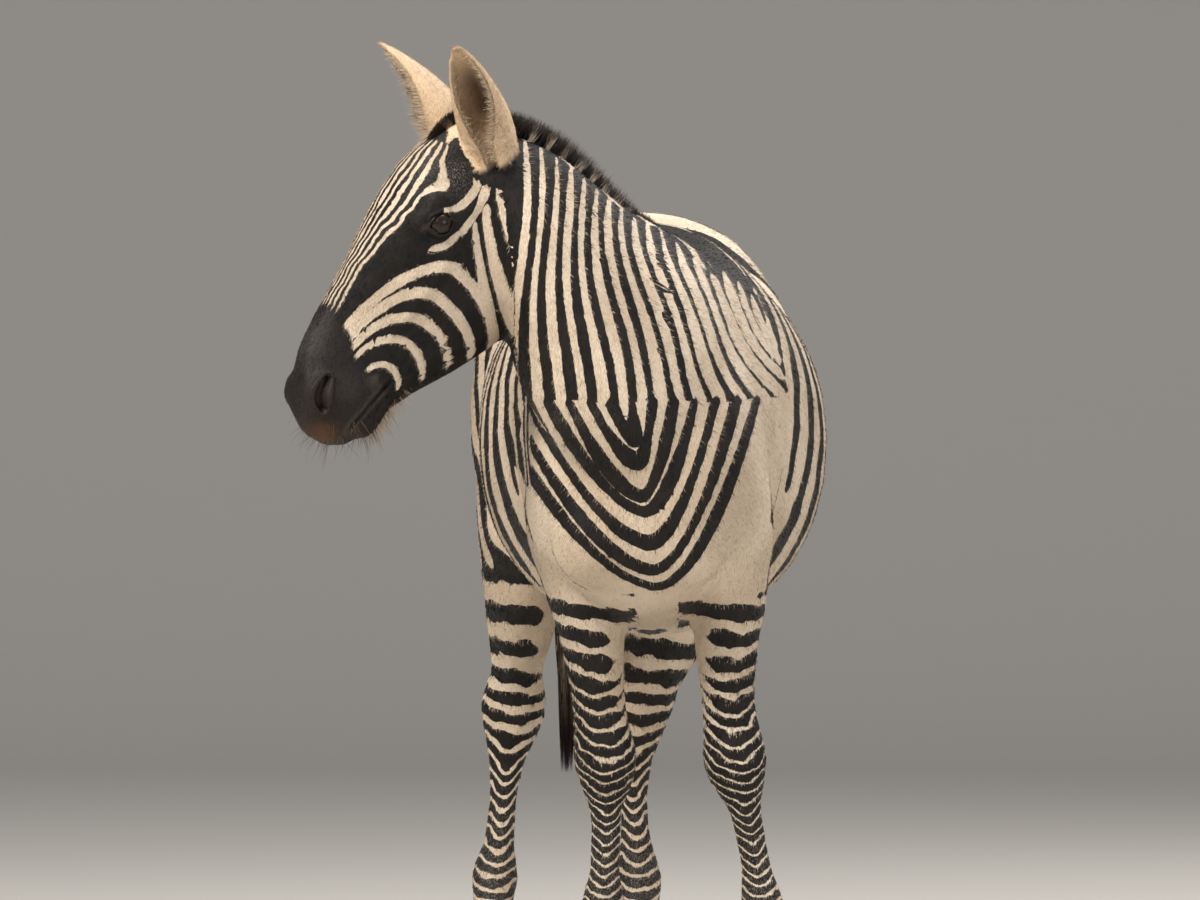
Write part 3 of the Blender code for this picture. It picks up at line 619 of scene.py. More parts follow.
# %% Bones of the face
FACE_LINES = [
    # (along, height, side) points of the left side, width, millimetres
    ([(0.195, -0.098, 0.084), (0.240, -0.100, 0.072), (0.300, -0.098, 0.060), (0.345, -0.096, 0.054)],
     0.011, 4.0),
    ([(0.235, -0.050, 0.066), (0.300, -0.045, 0.054), (0.360, -0.045, 0.048)], 0.016, -2.5),
    ([(0.130, -0.082, 0.088), (0.095, -0.092, 0.084), (0.055, -0.096, 0.074)], 0.011, 4.0),
    ([(0.262, -0.140, 0.062), (0.272, -0.190, 0.052), (0.262, -0.240, 0.040)], 0.010, -2.5),
    ([(0.060, -0.150, 0.072), (0.080, -0.200, 0.066), (0.125, -0.245, 0.056)], 0.012, -2.0),
    ([(0.285, -0.075, 0.060), (0.268, -0.120, 0.064), (0.260, -0.170, 0.060)], 0.004, 1.0),
    ([(0.300, -0.105, 0.056), (0.290, -0.140, 0.054), (0.275, -0.165, 0.056)], 0.004, 0.9),
    ([(0.345, -0.080, 0.050), (0.385, -0.085, 0.047), (0.420, -0.072, 0.046)], 0.012, -1.5),
]
FACE_SPOTS = [
    # centre as (along, height, side), radii, millimetres
    ((0.108, -0.026, 0.072), (0.022, 0.016, 0.02), -4.5),    # temple hollow
    ((0.170, -0.190, 0.080), (0.055, 0.060, 0.03), 2.5),     # round of the cheek
    ((0.452, -0.160, 0.030), (0.020, 0.012, 0.02), 3.0),     # lower lip
    ((0.480, -0.160, 0.0), (0.025, 0.018, 0.03), 3.0),       # chin
    ((0.470, -0.110, 0.048), (0.030, 0.022, 0.02), 2.5),     # side of the upper lip
    ((0.540, -0.085, 0.0), (0.018, 0.022, 0.028), 1.5),      # front of the upper lip
]
LIP_FRONT, MOUTH_END, MOUTH_HALF = (0.538, -0.118), (0.400, -0.142), 0.047
NOSTRIL_MIDDLE, NOSTRIL_RADII = (0.465, -0.066, 0.050), (0.041, 0.026)


def mouth_point(share):
    """A point of the mouth's line, from the front of the lips to the corner."""
    along = LIP_FRONT[0] + (MOUTH_END[0] - LIP_FRONT[0]) * share
    drop = (MOUTH_END[1] - LIP_FRONT[1]) * share ** 1.6
    return (along, LIP_FRONT[1] + drop, MOUTH_HALF * math.sin(math.pi / 2 * min(share / 0.33, 1.0)))


def nostril_point(turn):
    """A point of the nostril's comma, an arc of an ellipse that tucks in at its front."""
    along = NOSTRIL_MIDDLE[0] + NOSTRIL_RADII[0] * math.cos(turn)
    height = NOSTRIL_MIDDLE[1] + NOSTRIL_RADII[1] * math.sin(turn)
    return (along, height, NOSTRIL_MIDDLE[2] - 0.004 * math.cos(turn) ** 3)


MOUTH = [mouth_point(step / 6) for step in range(7)]
NOSTRIL = [nostril_point(math.radians(95 - 21 * step)) for step in range(5)]
FACE_AXES = (NOSE, BROW, LEFT)


def both_sides(points):
    """A bent line of the head, on the left and on the right."""
    return [[on_head(a, h, side * s) for a, h, s in points] for side in (1, -1)]


places = corners_of(skin.data)
normals = normals_of(skin.data)
for points, width, height in FACE_LINES:
    for line in both_sides(points):
        places = raise_line(places, normals, line, width, height / 1000)
for centre, radii, height in FACE_SPOTS:
    for line in both_sides([centre]):
        places = raise_spot(places, normals, line[0], radii, FACE_AXES, height / 1000)
set_corners(skin.data, places)


# %% A finer sheet where the small parts are
def divide_near(centres, reach):
    """Halve the edges of the faces that lie near any of some points."""
    middles = np.empty(len(skin.data.polygons) * 3)
    skin.data.polygons.foreach_get("center", middles)
    middles = middles.reshape(-1, 3)
    near = np.zeros(len(middles), bool)
    for centre in centres:
        near |= np.linalg.norm(middles - np.array(centre), axis=1) < reach
    only(skin)
    bpy.ops.object.mode_set(mode="EDIT")
    bpy.ops.mesh.select_mode(type="FACE")
    bpy.ops.mesh.select_all(action="DESELECT")
    bpy.ops.object.mode_set(mode="OBJECT")
    skin.data.polygons.foreach_set("select", near)
    bpy.ops.object.mode_set(mode="EDIT")
    bpy.ops.mesh.subdivide(number_cuts=1, smoothness=0.0)
    bpy.ops.object.mode_set(mode="OBJECT")
    print("divided", int(near.sum()), "faces")


eye_points = [eyes["left"] + LEFT * 0.012, eyes["right"] - LEFT * 0.012]
nostril_points = [line[2] for line in both_sides(NOSTRIL)]
lip_points = [point for line in both_sides(MOUTH) for point in line]
divide_near(eye_points, 0.034)
divide_near(eye_points, 0.027)
divide_near(nostril_points, 0.030)
divide_near(lip_points, 0.011)

# %% [markdown]
# ### Lids, nostrils and lips
# A lid lies on the ball of the eye like cloth on a marble, so the sheet is lifted on to a
# sphere a lid's thickness larger than the ball, and inside an almond opening it drops
# behind the ball. The edge between the two is the rim of the lids. Nostrils are commas
# pressed deep with a raised wing round them, and the mouth is a narrow groove between two
# soft rolls.

# %% Lids and sockets
LID = 0.0032                     # thickness of a lid
OPENING_HALF = 0.0212            # half the length of the opening between the lids
OPENING_UP, OPENING_DOWN = 0.0084, 0.0080
SLIT = (NOSE * 0.679 + BROW * 0.734).normalized()   # from the outer to the inner corner


def eye_frame(side):
    """(centre, towards the inner corner, towards the brow, outwards) of an eye."""
    outward = LEFT if side == "left" else -LEFT
    inward = (SLIT - outward * SLIT.dot(outward)).normalized()
    upward = (BROW * 0.679 - NOSE * 0.734).normalized()
    return eyes[side], inward, upward, outward


def eye_places(places, side):
    centre, inward, upward, outward = eye_frame(side)
    return (places - np.array(centre)) @ np.array([inward, upward, outward]).T


def opening_edge(x):
    """Heights of the upper and the lower lid's edge at places along the slit."""
    t = np.clip(np.asarray(x, float) / OPENING_HALF, -1, 1)
    arch = np.sqrt(np.maximum(1 - t * t, 0))
    upper = OPENING_UP * arch ** 0.9 * (1 + 0.12 * t) - 0.0010 * t
    lower = -OPENING_DOWN * arch ** 1.1 * (1 - 0.20 * t) - 0.0020 * t
    return upper, lower


def inside_opening(local):
    """Above 0 inside the almond between the lids, in metres from its edge."""
    upper, lower = opening_edge(local[:, 0])
    room = np.minimum(upper - local[:, 1], local[:, 1] - lower)
    return np.where(np.abs(local[:, 0]) < OPENING_HALF, room, -0.02)


def shape_lids(places, side):
    centre, inward, upward, outward = eye_frame(side)
    local = eye_places(places, side)
    reach = np.hypot(local[:, 0], local[:, 1])
    near = np.nonzero((reach < 0.040) & (local[:, 2] > -0.012) & (local[:, 2] < 0.040))[0]
    x, y, z = local[near].T
    reach = reach[near]
    ball = EYE_RADIUS + LID
    dome = np.sqrt(np.maximum(ball**2 - reach**2, 0)) - 4.0 * np.maximum(reach - ball * 0.93, 0)
    soft = 0.0035
    lifted = soft * np.logaddexp(z / soft, dome / soft)
    lifted = np.minimum(lifted, np.maximum(z, dome) + soft * 0.7)
    fade = 1 - smooth_step(0.028, 0.038, reach)
    z = z + (lifted - z) * fade
    room = inside_opening(np.stack([x, y, z], axis=1))
    above = y - opening_edge(x)[0]
    below = opening_edge(x)[1] - y
    within = 1 - smooth_step(0.020, 0.027, np.abs(x))
    z -= 0.0020 * np.exp(-(((above - 0.0075) / 0.0020) ** 2)) * within      # fold of the upper lid
    z += 0.0016 * np.exp(-(((above - 0.0115) / 0.0030) ** 2)) * within
    z -= 0.0016 * np.exp(-(((below - 0.0075) / 0.0020) ** 2)) * within      # fold of the lower lid
    z -= 0.0010 * np.exp(-(((below - 0.0130) / 0.0018) ** 2)) * within
    behind = np.sqrt(np.maximum((EYE_RADIUS - 0.0035) ** 2 - reach**2, 0.0))
    sunk = smooth_step(-0.0003, 0.0009, room)
    z = z * (1 - sunk) + np.minimum(z, behind) * sunk
    axes = np.array([inward, upward, outward])
    places[near] = np.array(centre) + np.stack([x, y, z], axis=1) @ axes
    return places


places = corners_of(skin.data)
for side in eyes:
    places = shape_lids(places, side)
set_corners(skin.data, places)

# %% Nostrils and mouth
NOSTRIL_HALF = 0.0076
places = corners_of(skin.data)
normals = normals_of(skin.data)
for sign, line in zip((1, -1), both_sides(NOSTRIL)):
    track = filled_in([p[:] for p in line], 5)
    near = np.nonzero(np.linalg.norm(places - np.array(line[2]), axis=1) < 0.05)[0]
    gap, share = from_line(places[near], track)
    wide = NOSTRIL_HALF * (0.55 + 0.75 * np.sin(np.pi * (0.12 + 0.80 * share)) ** 1.0 * (0.6 + 0.6 * share))
    push = -0.0150 * (1 - smooth_step(0.35, 1.25, gap / wide))
    wing = 0.0030 * np.exp(-(((gap / wide - 1.75) / 0.50) ** 2))
    inward = np.array(-LEFT * sign * 0.85 - NOSE * 0.15)
    places[near] += np.outer(-push, inward) * 1.0 + normals[near] * wing[:, None]
for line in both_sides(MOUTH):
    places = raise_line(places, normals, line, 0.0085, 0.0034)
    places = raise_line(places, normals, line, 0.0034, -0.0105)
set_corners(skin.data, places)
soften(skin, 1, 0.4 * head_share(corners_of(skin.data)))
print("lids, nostrils and lips shaped")

# %% [markdown]
# ## A lighter sheet
# The finest grain is only needed round the eyes, nostrils and lips. The rest is thinned in
# three rounds, the trunk and legs, the breast and neck, and the plain parts of the head,
# until the whole skin keeps under two hundred thousand triangles. Thinning takes most from
# what is flat.

# %% Thinning
TRUNK_TRIANGLES, FRONT_TRIANGLES, HEAD_TRIANGLES = 60_000, 40_000, 90_000


def triangles_of(mesh, chosen=None):
    """How many triangles the faces make, or those of them with every corner chosen."""
    sizes = np.array([len(face.vertices) for face in mesh.polygons])
    if chosen is None:
        return int((sizes - 2).sum())
    points = np.empty(len(mesh.loops), np.int32)
    mesh.loops.foreach_get("vertex_index", points)
    starts = np.append(0, np.cumsum(sizes)[:-1])
    whole = np.minimum.reduceat(chosen[points].astype(int), starts) > 0
    return int((sizes[whole] - 2).sum())


def thin_out(chosen, kept):
    """Thin the chosen points until about so many triangles are kept among them."""
    goal = triangles_of(skin.data) - triangles_of(skin.data, chosen) + kept
    only(skin)
    group = skin.vertex_groups.new(name="thin")
    group.add(np.nonzero(chosen)[0].tolist(), 1.0, "REPLACE")
    thin = skin.modifiers.new("thin", "DECIMATE")
    thin.ratio = goal / triangles_of(skin.data)
    thin.vertex_group = "thin"
    thin.use_collapse_triangulate = True
    apply_all(skin)
    skin.vertex_groups.clear()
    print("thinned to", triangles_of(skin.data), "triangles")


def near_any(places, centres, reach):
    near = np.zeros(len(places), bool)
    for centre in centres:
        near |= np.linalg.norm(places - np.array(centre), axis=1) < reach
    return near


def front_part(places, normals):
    near = body_places(places)
    return (normals[:, 1] < 0.0) & (near[:, 1] < 0.12) & (near[:, 2] > 0.68)


places = corners_of(skin.data)
plain = ~front_part(places, normals_of(skin.data)) & (head_share(places) <= 0.3)
thin_out(plain, TRUNK_TRIANGLES)
places = corners_of(skin.data)
breast = front_part(places, normals_of(skin.data)) & (head_share(places) <= 0.3)
thin_out(breast, FRONT_TRIANGLES)
places = corners_of(skin.data)
fine_parts = near_any(places, eye_points, 0.030) | near_any(places, nostril_points, 0.026)
fine_parts |= near_any(places, lip_points, 0.008)
on_head_now = head_share(places) > 0.3
fine_count = triangles_of(skin.data, on_head_now & fine_parts)
thin_out(on_head_now & ~fine_parts, max(HEAD_TRIANGLES - fine_count, 30_000))
skin.data.shade_smooth()

# %% [markdown]
# ## Stripes
# No image is used. Each point of the skin is told where it stands in three systems of
# stripes: belts round the body, rings round the legs and up the face, and strokes where
# the pattern bends: arches on the head, bands on the neck and chevrons on the breast. The
# first two are a phase, whose whole numbers are the middles of white stripes, with a bias to
# white or black and the width of a pair of stripes. A stroke is a signed distance from its
# middle line and a half width, which stay sharp between points of the skin that lie far apart.
# The finish turns them into hair with a ragged edge, and hair pieces read the same marks.

# %% Belts round the body
NECK_BELTS = [
    # crest point and throat point of each section of the neck, from the head backwards
    ((-0.285, -0.278, 1.450), (-0.245, -0.258, 1.205)), ((-0.225, -0.255, 1.448), (-0.206, -0.262, 1.145)),
    ((-0.165, -0.208, 1.422), (-0.180, -0.305, 1.070)), ((-0.116, -0.145, 1.378), (-0.138, -0.322, 0.990)),
    ((-0.068, -0.075, 1.325), (-0.083, -0.312, 0.925)), ((-0.018, 0.020, 1.290), (-0.016, -0.268, 0.860)),
    ((0.012, 0.140, 1.272), (0.004, -0.212, 0.770)),
]
SHOULDER_LEAN = 0.70           # how much the belts lean on the shoulder
SHOULDER_BELT = -0.086         # place of the last neck belt along the trunk
PAIR_WIDTHS = [(-0.80, 0.070), (-0.45, 0.078), (-0.10, 0.092), (0.20, 0.104), (0.70, 0.118)]
FAN_Y, FAN_Z, FAN_STEP = 0.62, 0.45, 0.185     # pivot of the fan on the haunch, radians a pair


def across_of(direction, up):
    across = np.cross(direction, up)
    square = np.cross(up, across)
    return square / np.linalg.norm(square)


def neck_belt(near):
    """Metres along the neck, counted backwards to the shoulder, and distance behind its last belt."""
    crest, throat = (np.array([row[k] for row in NECK_BELTS]) for k in (0, 1))
    middles = (crest + throat) / 2
    steps = np.linalg.norm(np.diff(middles, axis=0), axis=1)
    marks = SHOULDER_BELT - np.append(np.cumsum(steps[::-1])[::-1], 0.0)
    runs = np.gradient(middles, axis=0)
    behind = np.stack([
        (near - middle) @ across_of(run, top - low)
        for middle, run, top, low in zip(middles, runs, crest, throat)
    ], axis=1)
    found = marks[0] + np.minimum(behind[:, 0], 0)
    for k in range(len(middles) - 1):
        between = (behind[:, k] >= 0) & (behind[:, k + 1] < 0)
        share = behind[:, k] / np.maximum(behind[:, k] - behind[:, k + 1], 1e-6)
        found = np.where(between, marks[k] + share * (marks[k + 1] - marks[k]), found)
    found = np.where(behind[:, -1] >= 0, marks[-1] + behind[:, -1], found)
    return found, behind[:, -1]


def body_wave(near):
    """(phase, bias, width of a pair) of the belts."""
    x, y, z = near.T
    lean = SHOULDER_LEAN * (1 - smooth_step(-0.05, 0.45, y))
    trunk = np.minimum(y - lean * (z - 0.95), FAN_Y)
    neck, past = neck_belt(near)
    on_trunk = np.maximum(smooth_step(-0.05, 0.05, past), 1 - smooth_step(0.60, 0.72, z))
    along = neck * (1 - on_trunk) + trunk * on_trunk
    grid = np.arange(-1.2, 0.9, 0.01)
    widths = np.interp(grid, *np.array(PAIR_WIDTHS).T)
    phase = np.interp(along, grid, np.cumsum(0.01 / widths))
    angle = np.arctan2(z - FAN_Z, np.maximum(y - FAN_Y, 0) + 1e-6)
    fan = np.maximum(math.pi / 2 - angle, 0) * (y > FAN_Y)
    phase += fan / FAN_STEP
    radius = np.hypot(z - FAN_Z, y - FAN_Y)
    pair = np.where(y > FAN_Y, np.maximum(radius * FAN_STEP, 0.03), np.interp(along, grid, widths))
    bias = -0.30 + 0.30 * smooth_step(-0.3, 0.25, along)
    return phase, bias, pair


# %% Rings round the legs and lines up the face
RING_WIDTHS = {
    # height, width of a pair of rings, bias
    "fore": [(0.00, 0.017, -0.40), (0.16, 0.017, -0.60), (0.30, 0.0175, -0.82), (0.44, 0.020, -0.80),
             (0.54, 0.026, -0.60), (0.62, 0.036, -0.40), (0.72, 0.042, -0.25), (0.95, 0.065, 0.0)],
    "hind": [(0.00, 0.019, -0.45), (0.16, 0.020, -0.60), (0.36, 0.026, -0.55), (0.50, 0.033, -0.35),
             (0.60, 0.055, -0.05), (0.80, 0.088, 0.05), (1.10, 0.110, 0.0)],
}
RING_SAG = {
    # height, how far a ring hangs at the front of the leg
    "fore": [(0.00, 0.008), (0.30, 0.016), (0.42, 0.032), (0.56, 0.020), (0.66, 0.006), (0.80, 0.0)],
    "hind": [(0.00, 0.008), (0.25, 0.016), (0.37, 0.028), (0.46, 0.012), (0.60, 0.006), (0.80, 0.0)],
}
LEG_Y = {"fore": 0.015, "hind": 0.985}
# place along the head, half width of the lined face there
FACE_WIDTHS = [(0.03, 0.034), (0.10, 0.070), (0.16, 0.068), (0.21, 0.050), (0.29, 0.030), (0.45, 0.020)]
FACE_LINE_COUNT = 4            # white lines from the middle of the face to the last fine one


def ring_wave(near, end):
    """(phase, bias, width of a pair, distance from the leg's middle) of the rings of two legs."""
    x, y, z = near.T
    lines = [leg for leg in LEGS if leg.startswith(end)]
    sides = np.stack([x - np.interp(z, *np.array(sorted(LEG_LINES[leg])).T) for leg in lines])
    sideways = np.take_along_axis(sides, np.abs(sides).argmin(axis=0)[None], axis=0)[0]
    front = np.clip((LEG_Y[end] - y) / np.hypot(sideways, LEG_Y[end] - y).clip(0.01), -1, 1)
    hang = z + np.interp(z, *np.array(RING_SAG[end]).T) * np.maximum(front, -0.2)
    hang += 0.10 * sideways * smooth_step(0.30, 0.45, z)
    grid = np.arange(-0.05, 1.3, 0.004)
    heights, widths, biases = np.array(RING_WIDTHS[end]).T
    phase = np.interp(hang, grid, np.cumsum(0.004 / np.interp(grid, heights, widths)))
    return phase, np.interp(z, heights, biases), np.interp(z, heights, widths), np.abs(sideways)


def face_wave(along, side):
    width = np.interp(along, *np.array(FACE_WIDTHS).T)
    share = np.abs(side) / width
    pair = width / FACE_LINE_COUNT
    return share * FACE_LINE_COUNT, -0.15 - 1.8 * smooth_step(0.345, 0.380, along), pair, share


# %% [markdown]
# ### Strokes of the head
# The head is black with white strokes in the side view: arches that nest round the corner
# of the mouth, bands down the cheek, and arcs that hang below the eye and rise to the ear.
# Each is worked out from its number in its nest, so the pattern is a few sizes and counts.
# The right side takes the same strokes, as a zebra's two sides are alike but never equal,
# with a slow wobble that differs from side to side.

# %% White strokes of the head
MOUTH_CORNER = (0.425, -0.125)         # along the head and height: the arches nest round it
ARCH_COUNT, ARCH_FIRST, ARCH_STEP = 5, 0.036, 0.0450     # reach of an arch behind the corner
ARCH_RISE, ARCH_RISE_STEP = 0.050, 0.0125                # how far its forward arm lies above it
BAND_COUNT, BAND_STEP = 4, -0.033                        # bands down the cheek behind the arches
BAND_TOP, BAND_FOOT = (0.128, -0.104), (0.262, -0.286)
ARC_MIDDLE, ARC_RADII, ARC_STEP = (0.085, -0.010), (0.068, 0.065), (0.033, -0.020)


def head_arch(k):
    """One arch round the corner of the mouth, as rows of (along, height, 0, half width in mm)."""
    reach = ARCH_FIRST + ARCH_STEP * k
    rise = min(0.95 * reach, ARCH_RISE + ARCH_RISE_STEP * k)
    widest = min(5.0 + 1.3 * k, 9.0)
    rows = []
    for share in np.linspace(0, 1, 11):
        turn = np.radians(100 - (140 + 22 * np.exp(-k)) * share)
        tall = rise if turn > 0 else 1.05 * reach
        wave = 1 + 0.020 * np.sin(3.1 * turn + 1.7 * k)
        half = widest * (0.34 + 0.66 * np.sin(np.pi * min(0.08 + 0.62 * share, 1.0)))
        along = MOUTH_CORNER[0] - reach * wave * np.cos(turn)
        rows.append((along, MOUTH_CORNER[1] + tall * np.sin(turn), 0.0, half))
    return rows


def cheek_band(k):
    """One band from below the ear down the cheek to the jaw."""
    rows = []
    for share in np.linspace(0, 1, 8):
        along = BAND_TOP[0] + (BAND_FOOT[0] - BAND_TOP[0]) * share + BAND_STEP * k
        bow = 0.010 * np.sin(np.pi * share) * (1 + 0.4 * np.sin(2.1 * k))
        height = BAND_TOP[1] + (BAND_FOOT[1] - BAND_TOP[1]) * share ** 1.15
        rows.append((along + bow, height, 0.0, 3.0 + 5.2 * np.sin(np.pi * min(0.10 + 0.65 * share, 1.0))))
    return rows


def eye_arc(k):
    """One of the arcs that hang below the eye and rise to the ear."""
    middle = np.array(ARC_MIDDLE) + k * np.array(ARC_STEP)
    radii = np.array(ARC_RADII) + (0.032 * k, 0)
    rows = []
    for turn in np.radians(np.linspace(-32, -172, 9)):
        place = middle + radii * (np.cos(turn), np.sin(turn))
        rows.append((place[0], place[1], 0.0, 4.0 + 2.4 * np.sin(-turn)))
    return rows


HEAD_STROKES = [head_arch(k) for k in range(ARCH_COUNT)]
HEAD_STROKES += [cheek_band(k) for k in range(BAND_COUNT)]
HEAD_STROKES += [eye_arc(k) for k in range(2)]
print("white strokes on each side of the head:", len(HEAD_STROKES))

# %% [markdown]
# ### Strokes of the neck and breast
# From the front the neck is black with white bands that run from the mane down to the
# throat and fan out over the shoulder, at an even step. The breast is white with black
# chevrons, each of which joins the same black bands of the neck on both sides of its middle.
# They are worked out in the front view as rows of (x, height, half width in millimetres).

# %% Strokes of the neck and breast
NECK_COUNT = 17
NECK_TOP, NECK_TOP_STEP = (-0.185, 1.440), (0.0225, -0.016)      # start of the first band, step to the next
NECK_FOOT, NECK_FOOT_STEP = (-0.198, 1.008), (0.0335, 0.0)


def neck_stroke(k):
    """One white band down the front of the neck, as rows of (x, height, half width in mm)."""
    top = np.array(NECK_TOP) + k * np.array(NECK_TOP_STEP)
    foot = np.array(NECK_FOOT) + k * np.array(NECK_FOOT_STEP)
    rows = []
    for share in np.linspace(0, 1, 8):
        x = top[0] + (foot[0] - top[0]) * share ** 1.5 + 0.007 * np.sin(2 * np.pi * share + 0.5 * k)
        swell = 1 + 0.22 * np.sin(5 * share + 2.3 * k)
        half = min(share / 0.14 + 0.25, 1) * (3.6 + 4.0 * share + 0.10 * k) * swell
        rows.append((x, top[1] + (foot[1] - top[1]) * share, half))
    return rows


NECK_STROKES = [neck_stroke(k) for k in range(NECK_COUNT)]
BREAST_BAND = 5                        # the white band of the neck that lies on the middle of the breast
CHEVRON_COUNT, CHEVRON_FIRST, CHEVRON_STEP = 7, 0.950, 0.041         # height of the first point, step down
CHEVRON_TOP = 1.012                        # height at which they meet the bands of the neck
GROUND_EDGE = 1.010                    # below this the ground is white instead of black


def breast_chevron(k):
    """A black chevron that joins the k-th black bands to both sides of the breast's middle band."""
    middle = NECK_FOOT[0] + BREAST_BAND * NECK_FOOT_STEP[0]
    reach = (k + 0.5) * NECK_FOOT_STEP[0]
    bottom = CHEVRON_FIRST - CHEVRON_STEP * k + 0.009 * np.sin(2.4 * k)
    rows = []
    for across in np.linspace(-1, 1, 15):
        share = abs(across)
        lean = (0.020 + 0.006 * k) * (1 - share)
        x = middle + lean + reach * np.sign(across) * share ** 0.85
        z = bottom + (CHEVRON_TOP - bottom) * share ** 1.45
        half = (7.6 + (5.6 - 0.8 * k) * (1 - share)) * (1 + 0.24 * np.sin(5 * across + 1.9 * k))
        rows.append((x, z, half))
    return rows


BREAST_STROKES = [breast_chevron(k) for k in range(CHEVRON_COUNT)]
print("bands on the neck:", len(NECK_STROKES), "and chevrons on the breast:", len(BREAST_STROKES))


HEAD_MARGIN, FRONT_MARGIN = 0.0055, 0.0075     # how far outside its edge a stroke is known
FAR = 0.020
LAYERS = 3


def stroke_offset(places, normals, stroke, margin):
    """(points near a stroke, their signed distance from its middle, its half width there)."""
    line = filled_in(stroke, 6)
    middle, halves = line[:, :-1], line[:, -1] / 1000 + 0.0004
    reach = margin + halves.max() + 0.004
    low, high = middle.min(axis=0) - reach - 0.01, middle.max(axis=0) + reach + 0.01
    near = np.nonzero(((places > low) & (places < high)).all(axis=1))[0]
    away = np.empty(len(near))
    half = np.empty(len(near))
    runs = np.gradient(middle, axis=0)
    runs /= np.linalg.norm(runs, axis=1)[:, None]
    for first in range(0, len(near), 20_000):
        some = near[first:first + 20_000]
        gaps = places[some][:, None] - middle[None]
        gaps -= (gaps * normals[some][:, None]).sum(axis=2)[..., None] * normals[some][:, None] * 0.9
        nearest = (gaps ** 2).sum(axis=2).argmin(axis=1)
        gap = gaps[np.arange(len(some)), nearest]
        run = runs[nearest]
        beyond = (gap * run).sum(axis=1)
        last = len(middle) - 1
        past = np.maximum(np.where(nearest == last, beyond, np.where(nearest == 0, -beyond, 0)), 0)
        away[first:first + len(some)] = (np.cross(run, gap) * normals[some]).sum(axis=1)
        half[first:first + len(some)] = halves[nearest] - 1.1 * past
    known = np.abs(away) < np.maximum(half, 0) + margin
    known &= half > -0.008
    return near[known], away[known], half[known]


def layers_of(places, normals, strokes, margin):
    """Signed distances and half widths of the strokes, dealt into layers that never crowd."""
    offsets = np.full((len(places), LAYERS), FAR)
    halves = np.full((len(places), LAYERS), -FAR)
    for stroke in strokes:
        near, away, half = stroke_offset(places, normals, stroke, margin)
        if not len(near):
            continue
        crowds = [int((halves[near, layer] > -FAR).sum()) for layer in range(LAYERS)]
        layer = int(np.argmin(crowds))
        better = half - np.abs(away) > halves[near, layer] - np.abs(offsets[near, layer])
        offsets[near[better], layer] = away[better]
        halves[near[better], layer] = half[better]
    return offsets, halves


# %% [markdown]
# ### What each point is told
# All of that is put together for any set of points with their normals: skin corners now,
# and the roots of hairs later. A tint holds the places that are neither stripe: the dark
# muzzle with its rusty lip and a painted sheen on its top, painted shade along the mouth,
# the dark lids with painted shade under them and painted highlights on their folds, the
# inside of the ears with painted shade in their hollows, and the dark line along the back,
# with its strength in the fourth channel. Grey specks are painted sheen on the forehead and
# grizzled hair low on the legs; a few more lie on the breast.

# %% Marks of any point
EYE_RING, EYE_RING_RADIUS = (0.160, -0.092, 0.086), 0.0015     # a small dark ring below the eye
SPINE_X = [(-0.09, 0.008), (0.12, 0.016), (0.52, 0.023), (0.77, 0.004), (0.965, -0.029), (1.098, -0.058)]
MUZZLE_EDGE = [
    # height on the head, place along it where the dark muzzle begins
    (-0.250, 0.436), (-0.170, 0.426), (-0.100, 0.416), (-0.060, 0.404), (-0.040, 0.382), (0.010, 0.360),
]


def z_edge(x):
    return GROUND_EDGE + 0.003 * np.sin(40 * x)


def tint_over(tint, colour, strength):
    """Lay a colour over what a tint holds already."""
    strength = np.clip(strength, 0, 1)[:, None]
    tint[:, :3] = tint[:, :3] * (1 - strength) + np.array(colour) * strength
    tint[:, 3:] = tint[:, 3:] + (1 - tint[:, 3:]) * strength
    return tint


def spot_share(points, centre, radii):
    return np.exp(-1.5 * (((points - np.array(centre)) / np.array(radii)) ** 2).sum(axis=1))


